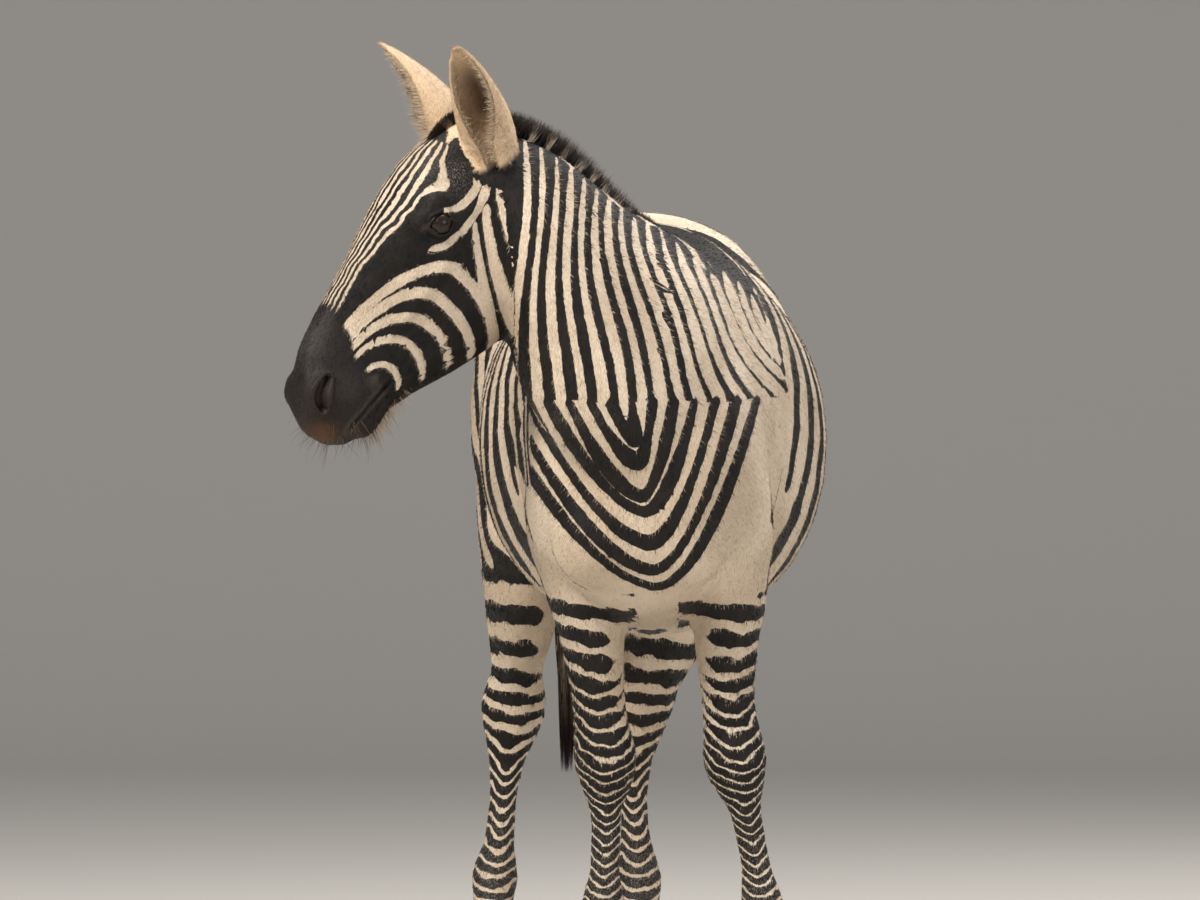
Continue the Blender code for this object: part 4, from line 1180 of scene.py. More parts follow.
def marks_at(places, normals):
    """Everything the finish needs to know at some points, as named arrays."""
    near, head = body_places(places), head_places(places)
    x, y, z = near.T
    along, height, side = head.T
    head_part = head_share(places) > 0.5

    phase, bias, pair = body_wave(near)
    down = smooth_step(0.35, 0.80, -normals[:, 2]) * (1 - smooth_step(0.66, 0.74, z)) * (y > 0.05)
    bias = bias + 2.0 * down * (y < 0.80)
    belts = np.stack([phase, bias, pair], axis=1)

    hind = y > 0.55
    fore_rings, hind_rings = (np.stack(ring_wave(near, end), axis=1) for end in ("fore", "hind"))
    rings = np.where(hind[:, None], hind_rings, fore_rings)
    sideways, rings = rings[:, 3], rings[:, :3]
    leg_x = np.where(x > 0.03, 1, -1)
    inner = smooth_step(0.45, 0.90, -normals[:, 0] * leg_x) * smooth_step(0.40, 0.60, z)
    rings[:, 1] += 1.6 * inner
    on_fore = (1 - smooth_step(0.680, 0.745, z)) * (np.abs(y) < 0.16)
    on_fore *= 1 - smooth_step(0.070, 0.095, sideways) * smooth_step(0.56, 0.62, z)
    on_hind = (1 - smooth_step(0.66, 0.76, z)) * smooth_step(0.72, 0.78, y)
    on_tail = smooth_step(1.115, 1.125, y) * (z < 1.19)
    rings[:, 0] = np.where(on_tail > 0, z / 0.034, rings[:, 0])
    rings[:, 1] = np.where(on_tail > 0, 0.15, rings[:, 1])
    rings[:, 2] = np.where(on_tail > 0, 0.034, rings[:, 2])
    ring_share = np.maximum.reduce([on_fore, on_hind, on_tail]) * ~head_part

    wobble = 0.003 * np.sin(along * 55 + np.sign(side) * 1.3) * (side < 0)
    mirrored = np.stack([along + wobble, height + wobble * 0.6, np.abs(side)], axis=1)
    flat = mirrored * (1, 1, 0)
    sidelong = np.tile((0.0, 0.0, 1.0), (len(near), 1))
    head_layers = layers_of(flat, sidelong, HEAD_STROKES, HEAD_MARGIN)
    face_phase, face_bias, face_pair, face_place = face_wave(along, side)
    bridge = (1 - smooth_step(1.08, 1.15, face_place)) * smooth_step(-0.055, -0.035, height)
    bridge *= smooth_step(0.020, 0.045, along) * head_part
    face = np.stack([face_phase, face_bias, face_pair], axis=1)
    rings = np.where(head_part[:, None], face, rings)
    ring_share = np.where(head_part, bridge, ring_share)

    front = near * (1, 0, 1)
    ahead = np.tile((0.0, -1.0, 0.0), (len(near), 1))
    raised = {kind: [[(px, 0.0, pz, half) for px, pz, half in stroke] for stroke in strokes]
              for kind, strokes in (("white", NECK_STROKES), ("black", BREAST_STROKES))}
    neck_layers = layers_of(front, ahead, raised["white"], FRONT_MARGIN)
    breast_layers = layers_of(front, ahead, raised["black"], FRONT_MARGIN)
    ground = np.where(head_part, -0.02, z_edge(x) - z)
    facing = smooth_step(0.05, 0.22, -normals[:, 1]) * (1 - smooth_step(0.10, 0.18, y))
    on_foreleg = np.abs(sideways) < 0.080
    lowest = np.where(on_foreleg, smooth_step(0.690, 0.725, z), smooth_step(0.600, 0.640, z))
    front_share = facing * lowest * ~head_part * (x > -0.215)
    stroke_share = np.where(head_part, 1 - bridge, front_share)
    white_at, white_half = (np.where(head_part[:, None], a, b) for a, b in zip(head_layers, neck_layers))
    black_at, black_half = breast_layers
    black_half = np.where(head_part[:, None], -FAR, black_half)

    tint = np.zeros((len(near), 4))
    edge = np.interp(height, *np.array(MUZZLE_EDGE).T)
    muzzle = smooth_step(-0.010, 0.014, along - edge) * head_part
    tint = tint_over(tint, (0.013, 0.0090, 0.0070), muzzle)
    for colour, strength, on, centre, radii in (
        # painted sheen: a grey patch on the top of the nose; the two brown patches at the nostrils are the
        # skin's own colour
        ((0.042, 0.036, 0.033), 0.75, head, (0.425, 0.000, 0.0), (0.05, 0.04, 0.05)),
        ((0.034, 0.025, 0.021), 0.7, mirrored, (0.452, -0.075, 0.05), (0.03, 0.03, 0.03)),
        ((0.030, 0.020, 0.015), 0.6, mirrored, (0.490, -0.045, 0.05), (0.04, 0.03, 0.04)),
    ):
        tint = tint_over(tint, colour, strength * muzzle * spot_share(on, centre, radii))
    rust = muzzle * spot_share(mirrored, (0.534, -0.096, 0.020), (0.022, 0.030, 0.040))
    tint = tint_over(tint, (0.135, 0.056, 0.024), 0.75 * rust)
    pale = spot_share(mirrored, (0.418, -0.112, 0.048), (0.018, 0.014, 0.03))
    tint = tint_over(tint, (0.090, 0.076, 0.064), 0.60 * pale)
    lip = from_line(mirrored, np.array(filled_in(MOUTH, 3)))[0]
    beside = smooth_step(0.003, 0.006, lip) * (1 - smooth_step(0.008, 0.014, lip))
    tint = tint_over(tint, (0.046, 0.036, 0.030), 0.8 * muzzle * beside)
    # Painted shade: a near black line along the groove of the mouth.
    tint = tint_over(tint, (0.004, 0.003, 0.003), (1 - smooth_step(0.0015, 0.0040, lip)) * head_part)
    # Dark lids: an almond of near black round each eye, the dark skin of the lids with painted shade under
    # the upper lid; a dark line runs from the inner corner and a small dark ring lies below the eye.
    lids = np.zeros(len(near))
    for eye in eyes:
        local = eye_places(places, eye)
        tall = np.where(local[:, 1] > 0, 0.0170, 0.0150)
        spread = np.hypot((local[:, 0] - 0.002) / 0.041, (local[:, 1] + 0.10 * local[:, 0]) / tall)
        lids = np.maximum(lids, (1 - smooth_step(0.80, 1.10, spread)) * (np.abs(local[:, 2]) < 0.05))
        tear = from_line(local, np.array([(0.030, -0.004, 0.016), (0.048, -0.014, 0.012)]))[0]
        lids = np.maximum(lids, 1 - smooth_step(0.0025, 0.0050, tear))
        ring = np.abs(np.linalg.norm(mirrored - np.array(EYE_RING), axis=1) - EYE_RING_RADIUS)
        lids = np.maximum(lids, 1 - smooth_step(0.0020, 0.0034, ring))
    tint = tint_over(tint, (0.012, 0.009, 0.007), lids)
    # Painted highlights: pale lines along the folds above and below each eye; the warm brown patch at the
    # inner corner is the lid's own colour.
    for eye in eyes:
        local = eye_places(places, eye)
        upper, lower = opening_edge(local[:, 0])
        painted_fold_highlights = np.exp(-(((local[:, 1] - upper - 0.0055) / 0.0010) ** 2))
        painted_fold_highlights += np.exp(-(((lower - local[:, 1] - 0.0060) / 0.0010) ** 2))
        corner = np.exp(-(((local[:, 0] - 0.027) / 0.006) ** 2) - ((local[:, 1] + 0.001) / 0.005) ** 2)
        shown = (np.abs(local[:, 0]) < 0.024) & (np.abs(local[:, 2]) < 0.05)
        fold_highlights_and_corner = np.maximum(0.55 * painted_fold_highlights * shown, 0.7 * corner * (local[:, 2] > 0))
        tint = tint_over(tint, (0.075, 0.050, 0.036), fold_highlights_and_corner)
    for ear in EARS:
        root, tip, axis, opening, sideways = ear_frame(ear)
        local = (places - np.array(root)) @ np.array([sideways, axis, opening]).T
        length = (tip - root).length
        t = local[:, 1] / length
        close = (np.abs(local[:, 0]) < 0.065) & (t > -0.10) & (t < 1.1)
        core = np.hypot(local[:, 0], local[:, 2]) < np.where(t < 0.25, 0.046, 0.09)
        on_ear = close * core * smooth_step(0.02, 0.07, t) * (head_places(places)[:, 1] > -0.115)
        base = close * (np.hypot(local[:, 0], local[:, 2]) < 0.056) * smooth_step(-0.09, -0.06, t)
        below = base * (1 - smooth_step(0.05, 0.10, t)) * (height > -0.115)
        tint = tint_over(tint, (0.010, 0.008, 0.007), below)
        facing_in = smooth_step(0.05, 0.45, normals @ np.array(opening))
        middle = np.exp(-((local[:, 0] / 0.022) ** 2)) * smooth_step(0.20, 0.34, t)
        middle *= 1 - smooth_step(0.55, 0.92, t)
        tint = tint_over(tint, (0.70, 0.52, 0.34), on_ear)
        # Painted shade in the hollow of the cup: dark brown down its middle, on the side that faces the
        # opening.
        tint = tint_over(tint, (0.115, 0.070, 0.042), 0.88 * on_ear * facing_in * middle)
        tint = tint_over(tint, (0.30, 0.19, 0.11), 0.5 * on_ear * smooth_step(0.90, 0.98, t))
        behind = on_ear * (1 - smooth_step(-0.35, 0.0, normals @ np.array(opening)))
        tint = tint_over(tint, (0.52, 0.40, 0.28), 0.5 * behind)
    back_line = 1 - smooth_step(0.009, 0.016, np.abs(x - np.interp(y, *np.array(SPINE_X).T)))
    back_line *= (normals[:, 2] > 0.6) & (y > 0.16) & (z > 1.1)
    belly_line = 1 - smooth_step(0.012, 0.022, np.abs(x - 0.02) + 0.008 * np.sin(y * 30))
    belly_line *= (normals[:, 2] < -0.7) & (y > 0.10) & (y < 0.78) & (z < 0.72)
    tint = tint_over(tint, (0.014, 0.011, 0.009), np.maximum(back_line, 0.9 * belly_line))

    # Grey specks: painted sheen on the forehead and the side of the head, grizzled hair low on the legs, and
    # a speckled patch on the breast.
    sheen_and_grizzle = 0.85 * spot_share(mirrored, (0.083, -0.035, 0.070), (0.035, 0.03, 0.03)) * head_part
    sheen_and_grizzle = np.maximum(sheen_and_grizzle, 0.75 * spot_share(mirrored, (0.085, 0.0, 0.03), (0.05, 0.05, 0.05)) * head_part)
    sheen_and_grizzle = np.maximum(sheen_and_grizzle, 0.55 * (1 - smooth_step(0.20, 0.42, z)) * ~head_part)
    sheen_and_grizzle = np.maximum(sheen_and_grizzle, 0.35 * spot_share(near[:, [0, 2]], (-0.10, 0.985), (0.07, 0.02)) * facing)
    return {
        "belts": belts, "rings": rings, "tint": tint, "sheen_and_grizzle": sheen_and_grizzle,
        "white_at": white_at, "white_half": white_half, "black_at": black_at, "black_half": black_half,
        "strokes": np.stack([ground, ring_share, stroke_share], axis=1),
    }


MARK_KINDS = {"tint": "FLOAT_COLOR", "sheen_and_grizzle": "FLOAT"}


def put_marks(mesh, places, normals, corners_each=1):
    """Store the marks of some places; each place stands for so many corners of the mesh."""
    for name, values in marks_at(places, normals).items():
        kind = MARK_KINDS.get(name, "FLOAT_VECTOR")
        held = mesh.attributes.new(name, kind, "POINT")
        field = {"FLOAT_VECTOR": "vector", "FLOAT_COLOR": "color", "FLOAT": "value"}[kind]
        values = np.repeat(values, corners_each, axis=0)
        held.data.foreach_set(field, np.ascontiguousarray(values, np.float32).ravel())


put_marks(skin.data, corners_of(skin.data), normals_of(skin.data))
print("marked", len(skin.data.vertices), "corners of the skin")

# %% [markdown]
# ## Eyes
# A zebra's eye is a large dark ball with a clear dome in front. A sphere is added at the
# place of each eye solid and turned so that its pole looks outward; the dome is raised a
# little by proportional moves of the points near the pole. Brown iris, the long level pupil
# and the pale rim all come from the distance to that pole, which is kept as an attribute.

# %% Two eyeballs
DOME = 0.0010                # how far the clear dome stands out of the ball


def eyeball(side):
    centre, inward, upward, outward = eye_frame(side)
    bpy.ops.object.select_all(action="DESELECT")
    bpy.ops.mesh.primitive_uv_sphere_add(segments=64, ring_count=40, radius=EYE_RADIUS)
    ball = bpy.context.view_layer.objects.active
    ball.name = ball.data.name = "eyeball_" + side
    turn = Matrix((inward, upward, outward)).transposed()
    local = corners_of(ball.data)
    ahead = np.clip(local[:, 2] / EYE_RADIUS, 0, 1)
    local *= (1 + DOME / EYE_RADIUS * smooth_step(0.72, 1.0, ahead))[:, None]
    places = local @ np.array(turn).T + np.array(centre)
    set_corners(ball.data, places)
    if turn.determinant() < 0:
        bpy.ops.object.mode_set(mode="EDIT")
        bpy.ops.mesh.flip_normals()
        bpy.ops.object.mode_set(mode="OBJECT")
    gaze = ball.data.attributes.new("gaze", "FLOAT_VECTOR", "POINT")
    gaze.data.foreach_set("vector", (local / EYE_RADIUS).ravel())
    ball.data.shade_smooth()
    return ball


eyeballs = {side: eyeball(side) for side in eyes}
print(len(eyeballs), "eyeballs")

# %% [markdown]
# ## Hooves
# A hoof is a horn capsule with fine growth rings parallel to the coronet and a worn rim at
# the ground. A copy of each hoof solid is wrapped at a fine grain and softened, and the
# rings are raised by a tenth of a millimetre or two. The sole is pressed flat again,
# because the animal stands on it.

# %% Four hooves
RING_SPACING = 0.0062
HOOF_VOXEL = 0.0021

hooves = {}
for leg in LEGS:
    node = "hoof_" + leg
    hoof = new_piece("horn_" + leg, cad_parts[node].data.copy())
    merged(hoof)
    wrap(hoof, HOOF_VOXEL)
    soften(hoof, 14)
    places = corners_of(hoof.data)
    normals = normals_of(hoof.data)
    near = body_places(places)
    y_middle = -0.022 if leg.startswith("fore") else 0.942
    below = 0.056 - near[:, 2] - 0.357 * (near[:, 1] - y_middle)      # distance below the coronet
    rings = 0.00045 * np.sin(below / RING_SPACING * 2 * math.pi + 2 * np.sin(near[:, 0] * 40))
    rings -= 0.0020 * np.exp(-((near[:, 2] / 0.004) ** 2)) * (normals[:, 2] > -0.5)
    places += normals * (rings * smooth_step(0.002, 0.012, near[:, 2]) + 0.0006)[:, None]
    sole = body_places(places)[:, 2] < 0.0016
    places[sole, 2] = 0.0
    set_corners(hoof.data, places)
    hoof.data.shade_smooth()
    hooves[leg] = hoof
    ring_share = hoof.data.attributes.new("below", "FLOAT", "POINT")
    ring_share.data.foreach_set("value", below)
print("hooves of", len(hooves["fore_left"].data.polygons), "faces")
# %% [markdown]
# ## Hair as blades
# Every lock of hair is a narrow blade of three to a dozen points that tapers to its tip.
# Blades are laid out as arrays of points, one row for each blade, so that forty thousand
# of them take a second. Each one takes its colour from the skin at its root: it carries
# the same marks, computed at the root's place, so stripes run on through the hair.

# %% Blade helpers
from mathutils.bvhtree import BVHTree

dice = np.random.default_rng(11)


def unit(vectors):
    return vectors / np.maximum(np.linalg.norm(vectors, axis=-1, keepdims=True), 1e-9)


def turned_about(vectors, spread):
    """Vectors turned by a random lean of about a spread in radians."""
    return unit(vectors + dice.normal(0, spread, vectors.shape))


def blade_paths(roots, directions, lengths, points, bend=0.0, bend_to=(0, 0, -1)):
    """Points along each blade: straight at the root and bent more and more to the tip."""
    t = np.linspace(0, 1, points)[None, :, None]
    straight = roots[:, None] + directions[:, None] * lengths[:, None, None] * t
    return straight + np.array(bend_to)[None, None] * (lengths * bend)[:, None, None] * t**2


def grow(name, paths, widths, root_normals, colour=None):
    """One mesh of flat tapering blades: a strip of triangles for each row of points.

    A blade takes the marks of its root, unless it is given a colour of its own.
    """
    count, points = paths.shape[:2]
    last = points - 1
    along = unit(np.gradient(paths, axis=1))
    spin = unit(dice.normal(0, 1, (count, 1, 3)))
    across = unit(np.cross(along, spin))
    taper = (1 - (np.arange(last) / last) ** 1.6)[None, :, None] * widths[:, None, None] / 2
    spread = across[:, :last] * taper
    pairs = np.stack([paths[:, :last] - spread, paths[:, :last] + spread], 2)
    corners = np.concatenate([pairs.reshape(count, last * 2, 3), paths[:, last:]], axis=1)
    strip = []
    for k in range(last - 1):
        a = 2 * k
        strip += [(a, a + 1, a + 3), (a, a + 3, a + 2)]
    strip.append((2 * last - 2, 2 * last - 1, 2 * last))
    faces = (np.array(strip)[None] + (np.arange(count) * (2 * last + 1))[:, None, None]).reshape(-1, 3)
    mesh = bpy.data.meshes.new(name)
    mesh.from_pydata(corners.reshape(-1, 3), [], faces)
    mesh.shade_smooth()
    piece = new_piece(name, mesh)
    steps = np.append(np.repeat(np.arange(last) / last, 2), 1.0)
    tip = mesh.attributes.new("tip", "FLOAT", "POINT")
    tip.data.foreach_set("value", np.tile(steps, count))
    put_marks(mesh, paths[:, 0], root_normals, 2 * last + 1)
    if colour is not None:
        tint = np.append(np.array(colour), 1.0)[None].repeat(len(mesh.vertices), axis=0)
        mesh.attributes["tint"].data.foreach_set("color", tint.astype(np.float32).ravel())
    return piece


def put_patches(piece, spots, points_each):
    """Give each blade a small patch of the texture sheet, at its root's place on the skin."""
    sheet = piece.data.uv_layers.new(name="OFBake")
    corner = np.empty(len(piece.data.loops), np.int32)
    piece.data.loops.foreach_get("vertex_index", corner)
    blade, step = corner // points_each, corner % points_each
    span = PATCH / max(points_each - 1, 1)
    offset = np.stack([(step % 2) * PATCH - PATCH / 2, step * span - PATCH / 2], axis=1)
    sheet.data.foreach_set("uv", np.clip(spots[blade] + offset, 0, 1).astype(np.float32).ravel())


PATCH = 0.003


# %% [markdown]
# ## Mane
# The mane stands upright like a brush, from between the ears down the crest to the withers,
# tallest half way down the neck. Its roots lie on a line along the crest. The blades lean
# a little at random and towards the outside, which gives the brush its rounded top.

# %% The mane
MANE_BLADES = 26_000
MANE = [
    # points of the crest, with the height and half width of the hair over it
    (on_head(0.062, -0.006), 0.004, 0.008), (on_head(0.030, -0.006), 0.010, 0.010),
    (on_head(-0.006, -0.026), 0.022, 0.012), (at(-0.262, -0.270, 1.437), 0.036, 0.014),
    (at(-0.215, -0.248, 1.430), 0.045, 0.018), (at(-0.160, -0.205, 1.403), 0.050, 0.018),
    (at(-0.114, -0.142, 1.362), 0.054, 0.018), (at(-0.068, -0.072, 1.314), 0.054, 0.017),
    (at(-0.022, 0.012, 1.280), 0.043, 0.015), (at(0.006, 0.090, 1.276), 0.028, 0.013),
    (at(0.014, 0.150, 1.282), 0.010, 0.009),
]
mane_rows = []
for k, (point, height, half) in enumerate(MANE):
    run = (MANE[min(k + 1, len(MANE) - 1)][0] - MANE[max(k - 1, 0)][0]).normalized()
    up = BROW if k < 3 else UP
    up = (up - run * up.dot(run)).normalized()
    mane_rows.append([*point, *up, *run, height, half])
mane_rows = filled_in(mane_rows, 12)
pick = dice.uniform(0, len(mane_rows) - 1.001, MANE_BLADES)
low = pick.astype(int)
row = mane_rows[low] + (mane_rows[low + 1] - mane_rows[low]) * (pick - low)[:, None]
up, run = unit(row[:, 3:6]), unit(row[:, 6:9])
side = np.cross(run, up)
across = np.clip(dice.normal(0, 0.55, MANE_BLADES), -1, 1)
roots = row[:, 0:3] + side * (across * row[:, 10])[:, None] - up * 0.008
lean = up + side * (across * 0.22)[:, None] + run * 0.10
length = (row[:, 9] + 0.010) * dice.uniform(0.74, 1.10, MANE_BLADES) * (1 - 0.22 * across**2)
paths = blade_paths(roots, turned_about(lean, 0.10), length, 4, 0.10, (0, 0, -0.4))
mane_halves = dice.uniform(0.0011, 0.0020, MANE_BLADES)
mane = grow("mane_hair", paths, mane_halves, unit(side * across[:, None] + up * 0.3))
print("mane of", len(mane.data.polygons), "faces")

# %% [markdown]
# ## Tail
# The fleshy tail belongs to the skin. Long hair starts on its lower third and hangs
# straight to the hocks, gathered by its own weight into a slim tassel with a few strands
# loose at the tip. Each blade is bent over a point of the fleshy tail and then falls.

# %% The long hair of the tail
TAIL_BLADES = 3_000
TAIL_POINTS = 10
TAIL_TOP, TAIL_END, TAIL_TIP = 0.900, 0.790, 0.350
TAIL_LINE = [(1.20, -0.062), (0.90, -0.104), (0.80, -0.114), (0.35, -0.122)]

start = dice.uniform(TAIL_END, TAIL_TOP, TAIL_BLADES) ** 1.0
turn = dice.uniform(0, 2 * math.pi, TAIL_BLADES)
heights = [z for z, x in TAIL_LINE][::-1]
middles = [x for z, x in TAIL_LINE][::-1]
radius = np.where(start > 0.83, 0.021, 0.017) * np.sqrt(dice.uniform(0.6, 1, TAIL_BLADES))
tip_height = TAIL_TIP + 0.30 * dice.uniform(0, 1, TAIL_BLADES) ** 2.2 + 0.004
down = np.linspace(0, 1, TAIL_POINTS)[None]
z = start[:, None] + (tip_height - start)[:, None] * down
belly = 1 + 0.30 * np.sin(np.pi * np.clip(down * 1.1, 0, 1)) - 0.72 * down**2.5
wave = 0.004 * down * np.sin(down * 7 + turn[:, None] * 3)
x = np.interp(z, heights, middles) + (radius * np.cos(turn))[:, None] * belly + wave
y = 1.158 + (radius * np.sin(turn))[:, None] * belly + wave * 0.7
paths = np.stack([x, y, z], axis=2) + np.array(BODY_ORIGIN)
outward = np.stack([np.cos(turn), np.sin(turn), np.zeros(TAIL_BLADES)], axis=1)
tail = grow("tail_hair", paths, dice.uniform(0.0014, 0.0026, TAIL_BLADES), outward)
print("tail of", len(tail.data.polygons), "faces")

# %% [markdown]
# ## Short coat
# The summer coat of a zebra is short and lies flat, about a centimetre on the body and half
# of that on the face. Most of it is relief in the finish, but it has to break the outline
# and soften every edge of a stripe, so short blades are sown all over the skin, thickest on
# the head. Each one leans the way the real coat lies: down the face and legs, down and back
# over neck and trunk. The sowing takes faces of the skin in proportion to their area.

# %% The skin unwrapped on a sheet
only(skin)
bpy.ops.object.mode_set(mode="EDIT")
bpy.ops.mesh.select_all(action="SELECT")
skin.data.uv_layers.new(name="OFBake")
bpy.ops.uv.smart_project(angle_limit=1.15, island_margin=0.002, scale_to_bounds=True)
bpy.ops.object.mode_set(mode="OBJECT")
print("unwrapped the skin")

# %% Where a blade can root
skin.data.calc_loop_triangles()
triangles = np.empty(len(skin.data.loop_triangles) * 3, np.int32)
skin.data.loop_triangles.foreach_get("vertices", triangles)
triangles = triangles.reshape(-1, 3)
triangle_loops = np.empty(len(skin.data.loop_triangles) * 3, np.int32)
skin.data.loop_triangles.foreach_get("loops", triangle_loops)
skin_uvs = np.empty(len(skin.data.loops) * 2, np.float32)
skin.data.uv_layers["OFBake"].data.foreach_get("uv", skin_uvs)
triangle_uvs = skin_uvs.reshape(-1, 2)[triangle_loops.reshape(-1, 3)]
triangle_places = corners_of(skin.data)[triangles]
triangle_normals = normals_of(skin.data)[triangles]
sides = triangle_places[:, 1:] - triangle_places[:, :1]
triangle_areas = np.linalg.norm(np.cross(sides[:, 0], sides[:, 1]), axis=1) / 2
triangle_middles = triangle_places.mean(axis=1)


def combed(places, normals):
    """The way the coat lies at some points."""
    near = body_places(places)
    flow = np.tile((0.0, 0.80, -0.60), (len(places), 1))
    low = smooth_step(0.55, 0.80, near[:, 2])[:, None]
    flow = flow * low + np.array((0.0, 0.10, -1.0)) * (1 - low)
    head_part = head_share(places)[:, None]
    flow = flow * (1 - head_part) + np.array(NOSE) * head_part
    for ear in EARS:
        root, tip, axis, opening, sideways = ear_frame(ear)
        t = (places - np.array(root)) @ np.array(axis) / (tip - root).length
        side = (places - np.array(root)) @ np.array(sideways)
        on_ear = (t > 0.22) & (t < 1.1) & (np.abs(side) < 0.06) & (head_places(places)[:, 1] > -0.115)
        flow[on_ear] = np.array(axis)
    flow -= normals * (flow * normals).sum(axis=1)[:, None]
    return unit(flow)


def sow(name, count, weights, length, width, lift):
    """Short blades all over some faces of the skin."""
    chance = triangle_areas * weights
    chosen = dice.choice(len(chance), count, p=chance / chance.sum())
    share = dice.dirichlet((1, 1, 1), count)[:, :, None]
    roots = (triangle_places[chosen] * share).sum(axis=1)
    normals = unit((triangle_normals[chosen] * share).sum(axis=1))
    spots = (triangle_uvs[chosen] * share).sum(axis=1)
    raised = np.sin(lift) * dice.uniform(0.6, 1.4, count)
    direction = unit(turned_about(combed(roots, normals), 0.12) + normals * raised[:, None])
    lengths = np.interp(dice.uniform(0, 1, count), [0, 1], [0.7, 1.25]) * length(roots)
    paths = blade_paths(roots - normals * 0.0006, direction, lengths, 3)
    paths[:, 2] -= normals * (lengths * 0.10)[:, None]
    piece = grow(name, paths, dice.uniform(0.7, 1.2, count) * width, normals)
    put_patches(piece, spots, 5)
    print(name, "has", len(piece.data.polygons), "faces")
    return piece


def coat_length(places):
    near = body_places(places)
    return 0.0100 - 0.0040 * head_share(places) - 0.0035 * (1 - smooth_step(0.30, 0.65, near[:, 2]))


# %% The coat of the head and of the body
COAT_BLADES = 62_000
on_the_head = head_share(triangle_middles)
middle_head = head_places(triangle_middles)
muzzle_bare = smooth_step(0.44, 0.50, middle_head[:, 0]) * (on_the_head > 0.5)
eye_bare = near_any(triangle_middles, eye_points, 0.021)
head_weight = on_the_head * (1 - 0.75 * muzzle_bare) * ~eye_bare
body_middle = body_places(triangle_middles)
body_weight = (1 - on_the_head) * np.where(body_middle[:, 2] < 0.60, 1.4, 0.8)
front_weight = (1 - on_the_head) * (body_middle[:, 1] < 0.20) * (body_middle[:, 2] > 0.60)
coats = [
    sow("coat_head_left", COAT_BLADES, head_weight * (middle_head[:, 2] > 0), coat_length, 0.00060, 0.26),
    sow("coat_head_right", COAT_BLADES, head_weight * (middle_head[:, 2] <= 0), coat_length, 0.00060, 0.26),
    sow("coat_front", COAT_BLADES, front_weight, coat_length, 0.00080, 0.22),
    sow("coat_back", COAT_BLADES, body_weight * (front_weight == 0), coat_length, 0.00110, 0.22),
    sow("coat_back_more", COAT_BLADES, body_weight * (front_weight == 0), coat_length, 0.00095, 0.22),
]

# %% [markdown]
# ## Hair of ears, lids, lips and fetlocks
# The cup of an ear is filled with soft pale hair that also fringes its edges. Lashes stand
# out of the upper lid and shade the eye. Long stiff whiskers grow from the lips and chin,
# each by itself, and a little feather hangs behind each fetlock.

# %% Ear hair
def ear_hair(side, count):
    t = dice.beta(1.5, 1.8, count) * 0.85 + 0.06
    edge = dice.choice((-1.0, 1.0), count) * (1 - 0.55 * dice.uniform(0, 1, count) ** 1.6)
    root, tip, axis, opening, sideways = (np.array(part) for part in ear_frame(side))
    roots = np.array([ear_point(side, float(a), float(b), EAR_WALL / 2)[:] for a, b in zip(t, edge)])
    lean = opening * dice.uniform(0.2, 1.0, (count, 1)) + axis * 0.75 - sideways * (edge * 0.35)[:, None]
    lengths = dice.uniform(0.012, 0.030, count) * (1.1 - 0.6 * t)
    paths = blade_paths(roots, turned_about(unit(lean), 0.16), lengths, 4, 0.25, (0, 0, -0.6))
    return paths, np.tile(opening, (count, 1))


EAR_BLADES = 2_600
parts = [ear_hair(side, EAR_BLADES) for side in EARS]
paths = np.concatenate([part[0] for part in parts])
ear_tufts = grow("ear_hair", paths, dice.uniform(0.0005, 0.0010, len(paths)),
                 np.concatenate([part[1] for part in parts]), (0.66, 0.54, 0.40))
print("ear hair of", len(ear_tufts.data.polygons), "faces")

# %% Lashes and whiskers
LASHES, WHISKERS, CHIN_HAIRS = 110, 70, 420


def rooted(centre, radii, count):
    """Corners of the skin near a point of the head, picked at random, with their normals."""
    places, normals = corners_of(skin.data), normals_of(skin.data)
    share = spot_share(head_places(places), centre, radii)
    pick = dice.choice(len(places), count, p=share / share.sum())
    return places[pick], normals[pick]


lash_paths = []
for side in eyes:
    centre, inward, upward, outward = (np.array(part) for part in eye_frame(side))
    x = dice.uniform(-0.0175, 0.0165, LASHES)
    y = opening_edge(x)[0] + 0.0010
    z = np.sqrt(np.maximum((EYE_RADIUS + LID) ** 2 - x**2 - y**2, 0)) - 0.0008
    roots = centre + np.stack([x, y, z], axis=1) @ np.array([inward, upward, outward])
    lean = outward + upward * 0.10 + np.outer(x * 18, inward)
    lengths = dice.uniform(0.009, 0.016, LASHES)
    lash_paths.append(blade_paths(roots, turned_about(unit(lean), 0.10), lengths, 5, 0.45, (0, 0, -1)))
paths = np.concatenate(lash_paths)
lashes = grow("lashes", paths, np.full(len(paths), 0.00055), paths[:, 1] - paths[:, 0], (0.015, 0.011, 0.009))
whisker_roots = [rooted((0.520, -0.110, side * 0.030), (0.03, 0.03, 0.03), WHISKERS) for side in (1, -1)]
whisker_roots.append(rooted((0.480, -0.172, 0.0), (0.04, 0.015, 0.04), WHISKERS))
roots = np.concatenate([part[0] for part in whisker_roots])
outward = np.concatenate([part[1] for part in whisker_roots])
lean = turned_about(unit(outward + np.array(NOSE) * 0.3), 0.25)
lengths = dice.uniform(0.016, 0.042, len(roots))
whiskers = grow("whiskers", blade_paths(roots, lean, lengths, 6, 0.20), np.full(len(roots), 0.00060), outward,
                (0.09, 0.060, 0.035))
roots, outward = rooted((0.455, -0.178, 0.0), (0.06, 0.012, 0.04), CHIN_HAIRS)
lengths = dice.uniform(0.010, 0.030, CHIN_HAIRS)
leaning = turned_about(unit(outward + np.array(NOSE) * 0.2), 0.3)
chin = grow("chin_hair", blade_paths(roots, leaning, lengths, 5, 0.2),
            np.full(CHIN_HAIRS, 0.00055), outward, (0.50, 0.36, 0.22))
print("lashes, whiskers and chin hair:", [len(piece.data.polygons) for piece in (lashes, whiskers, chin)])

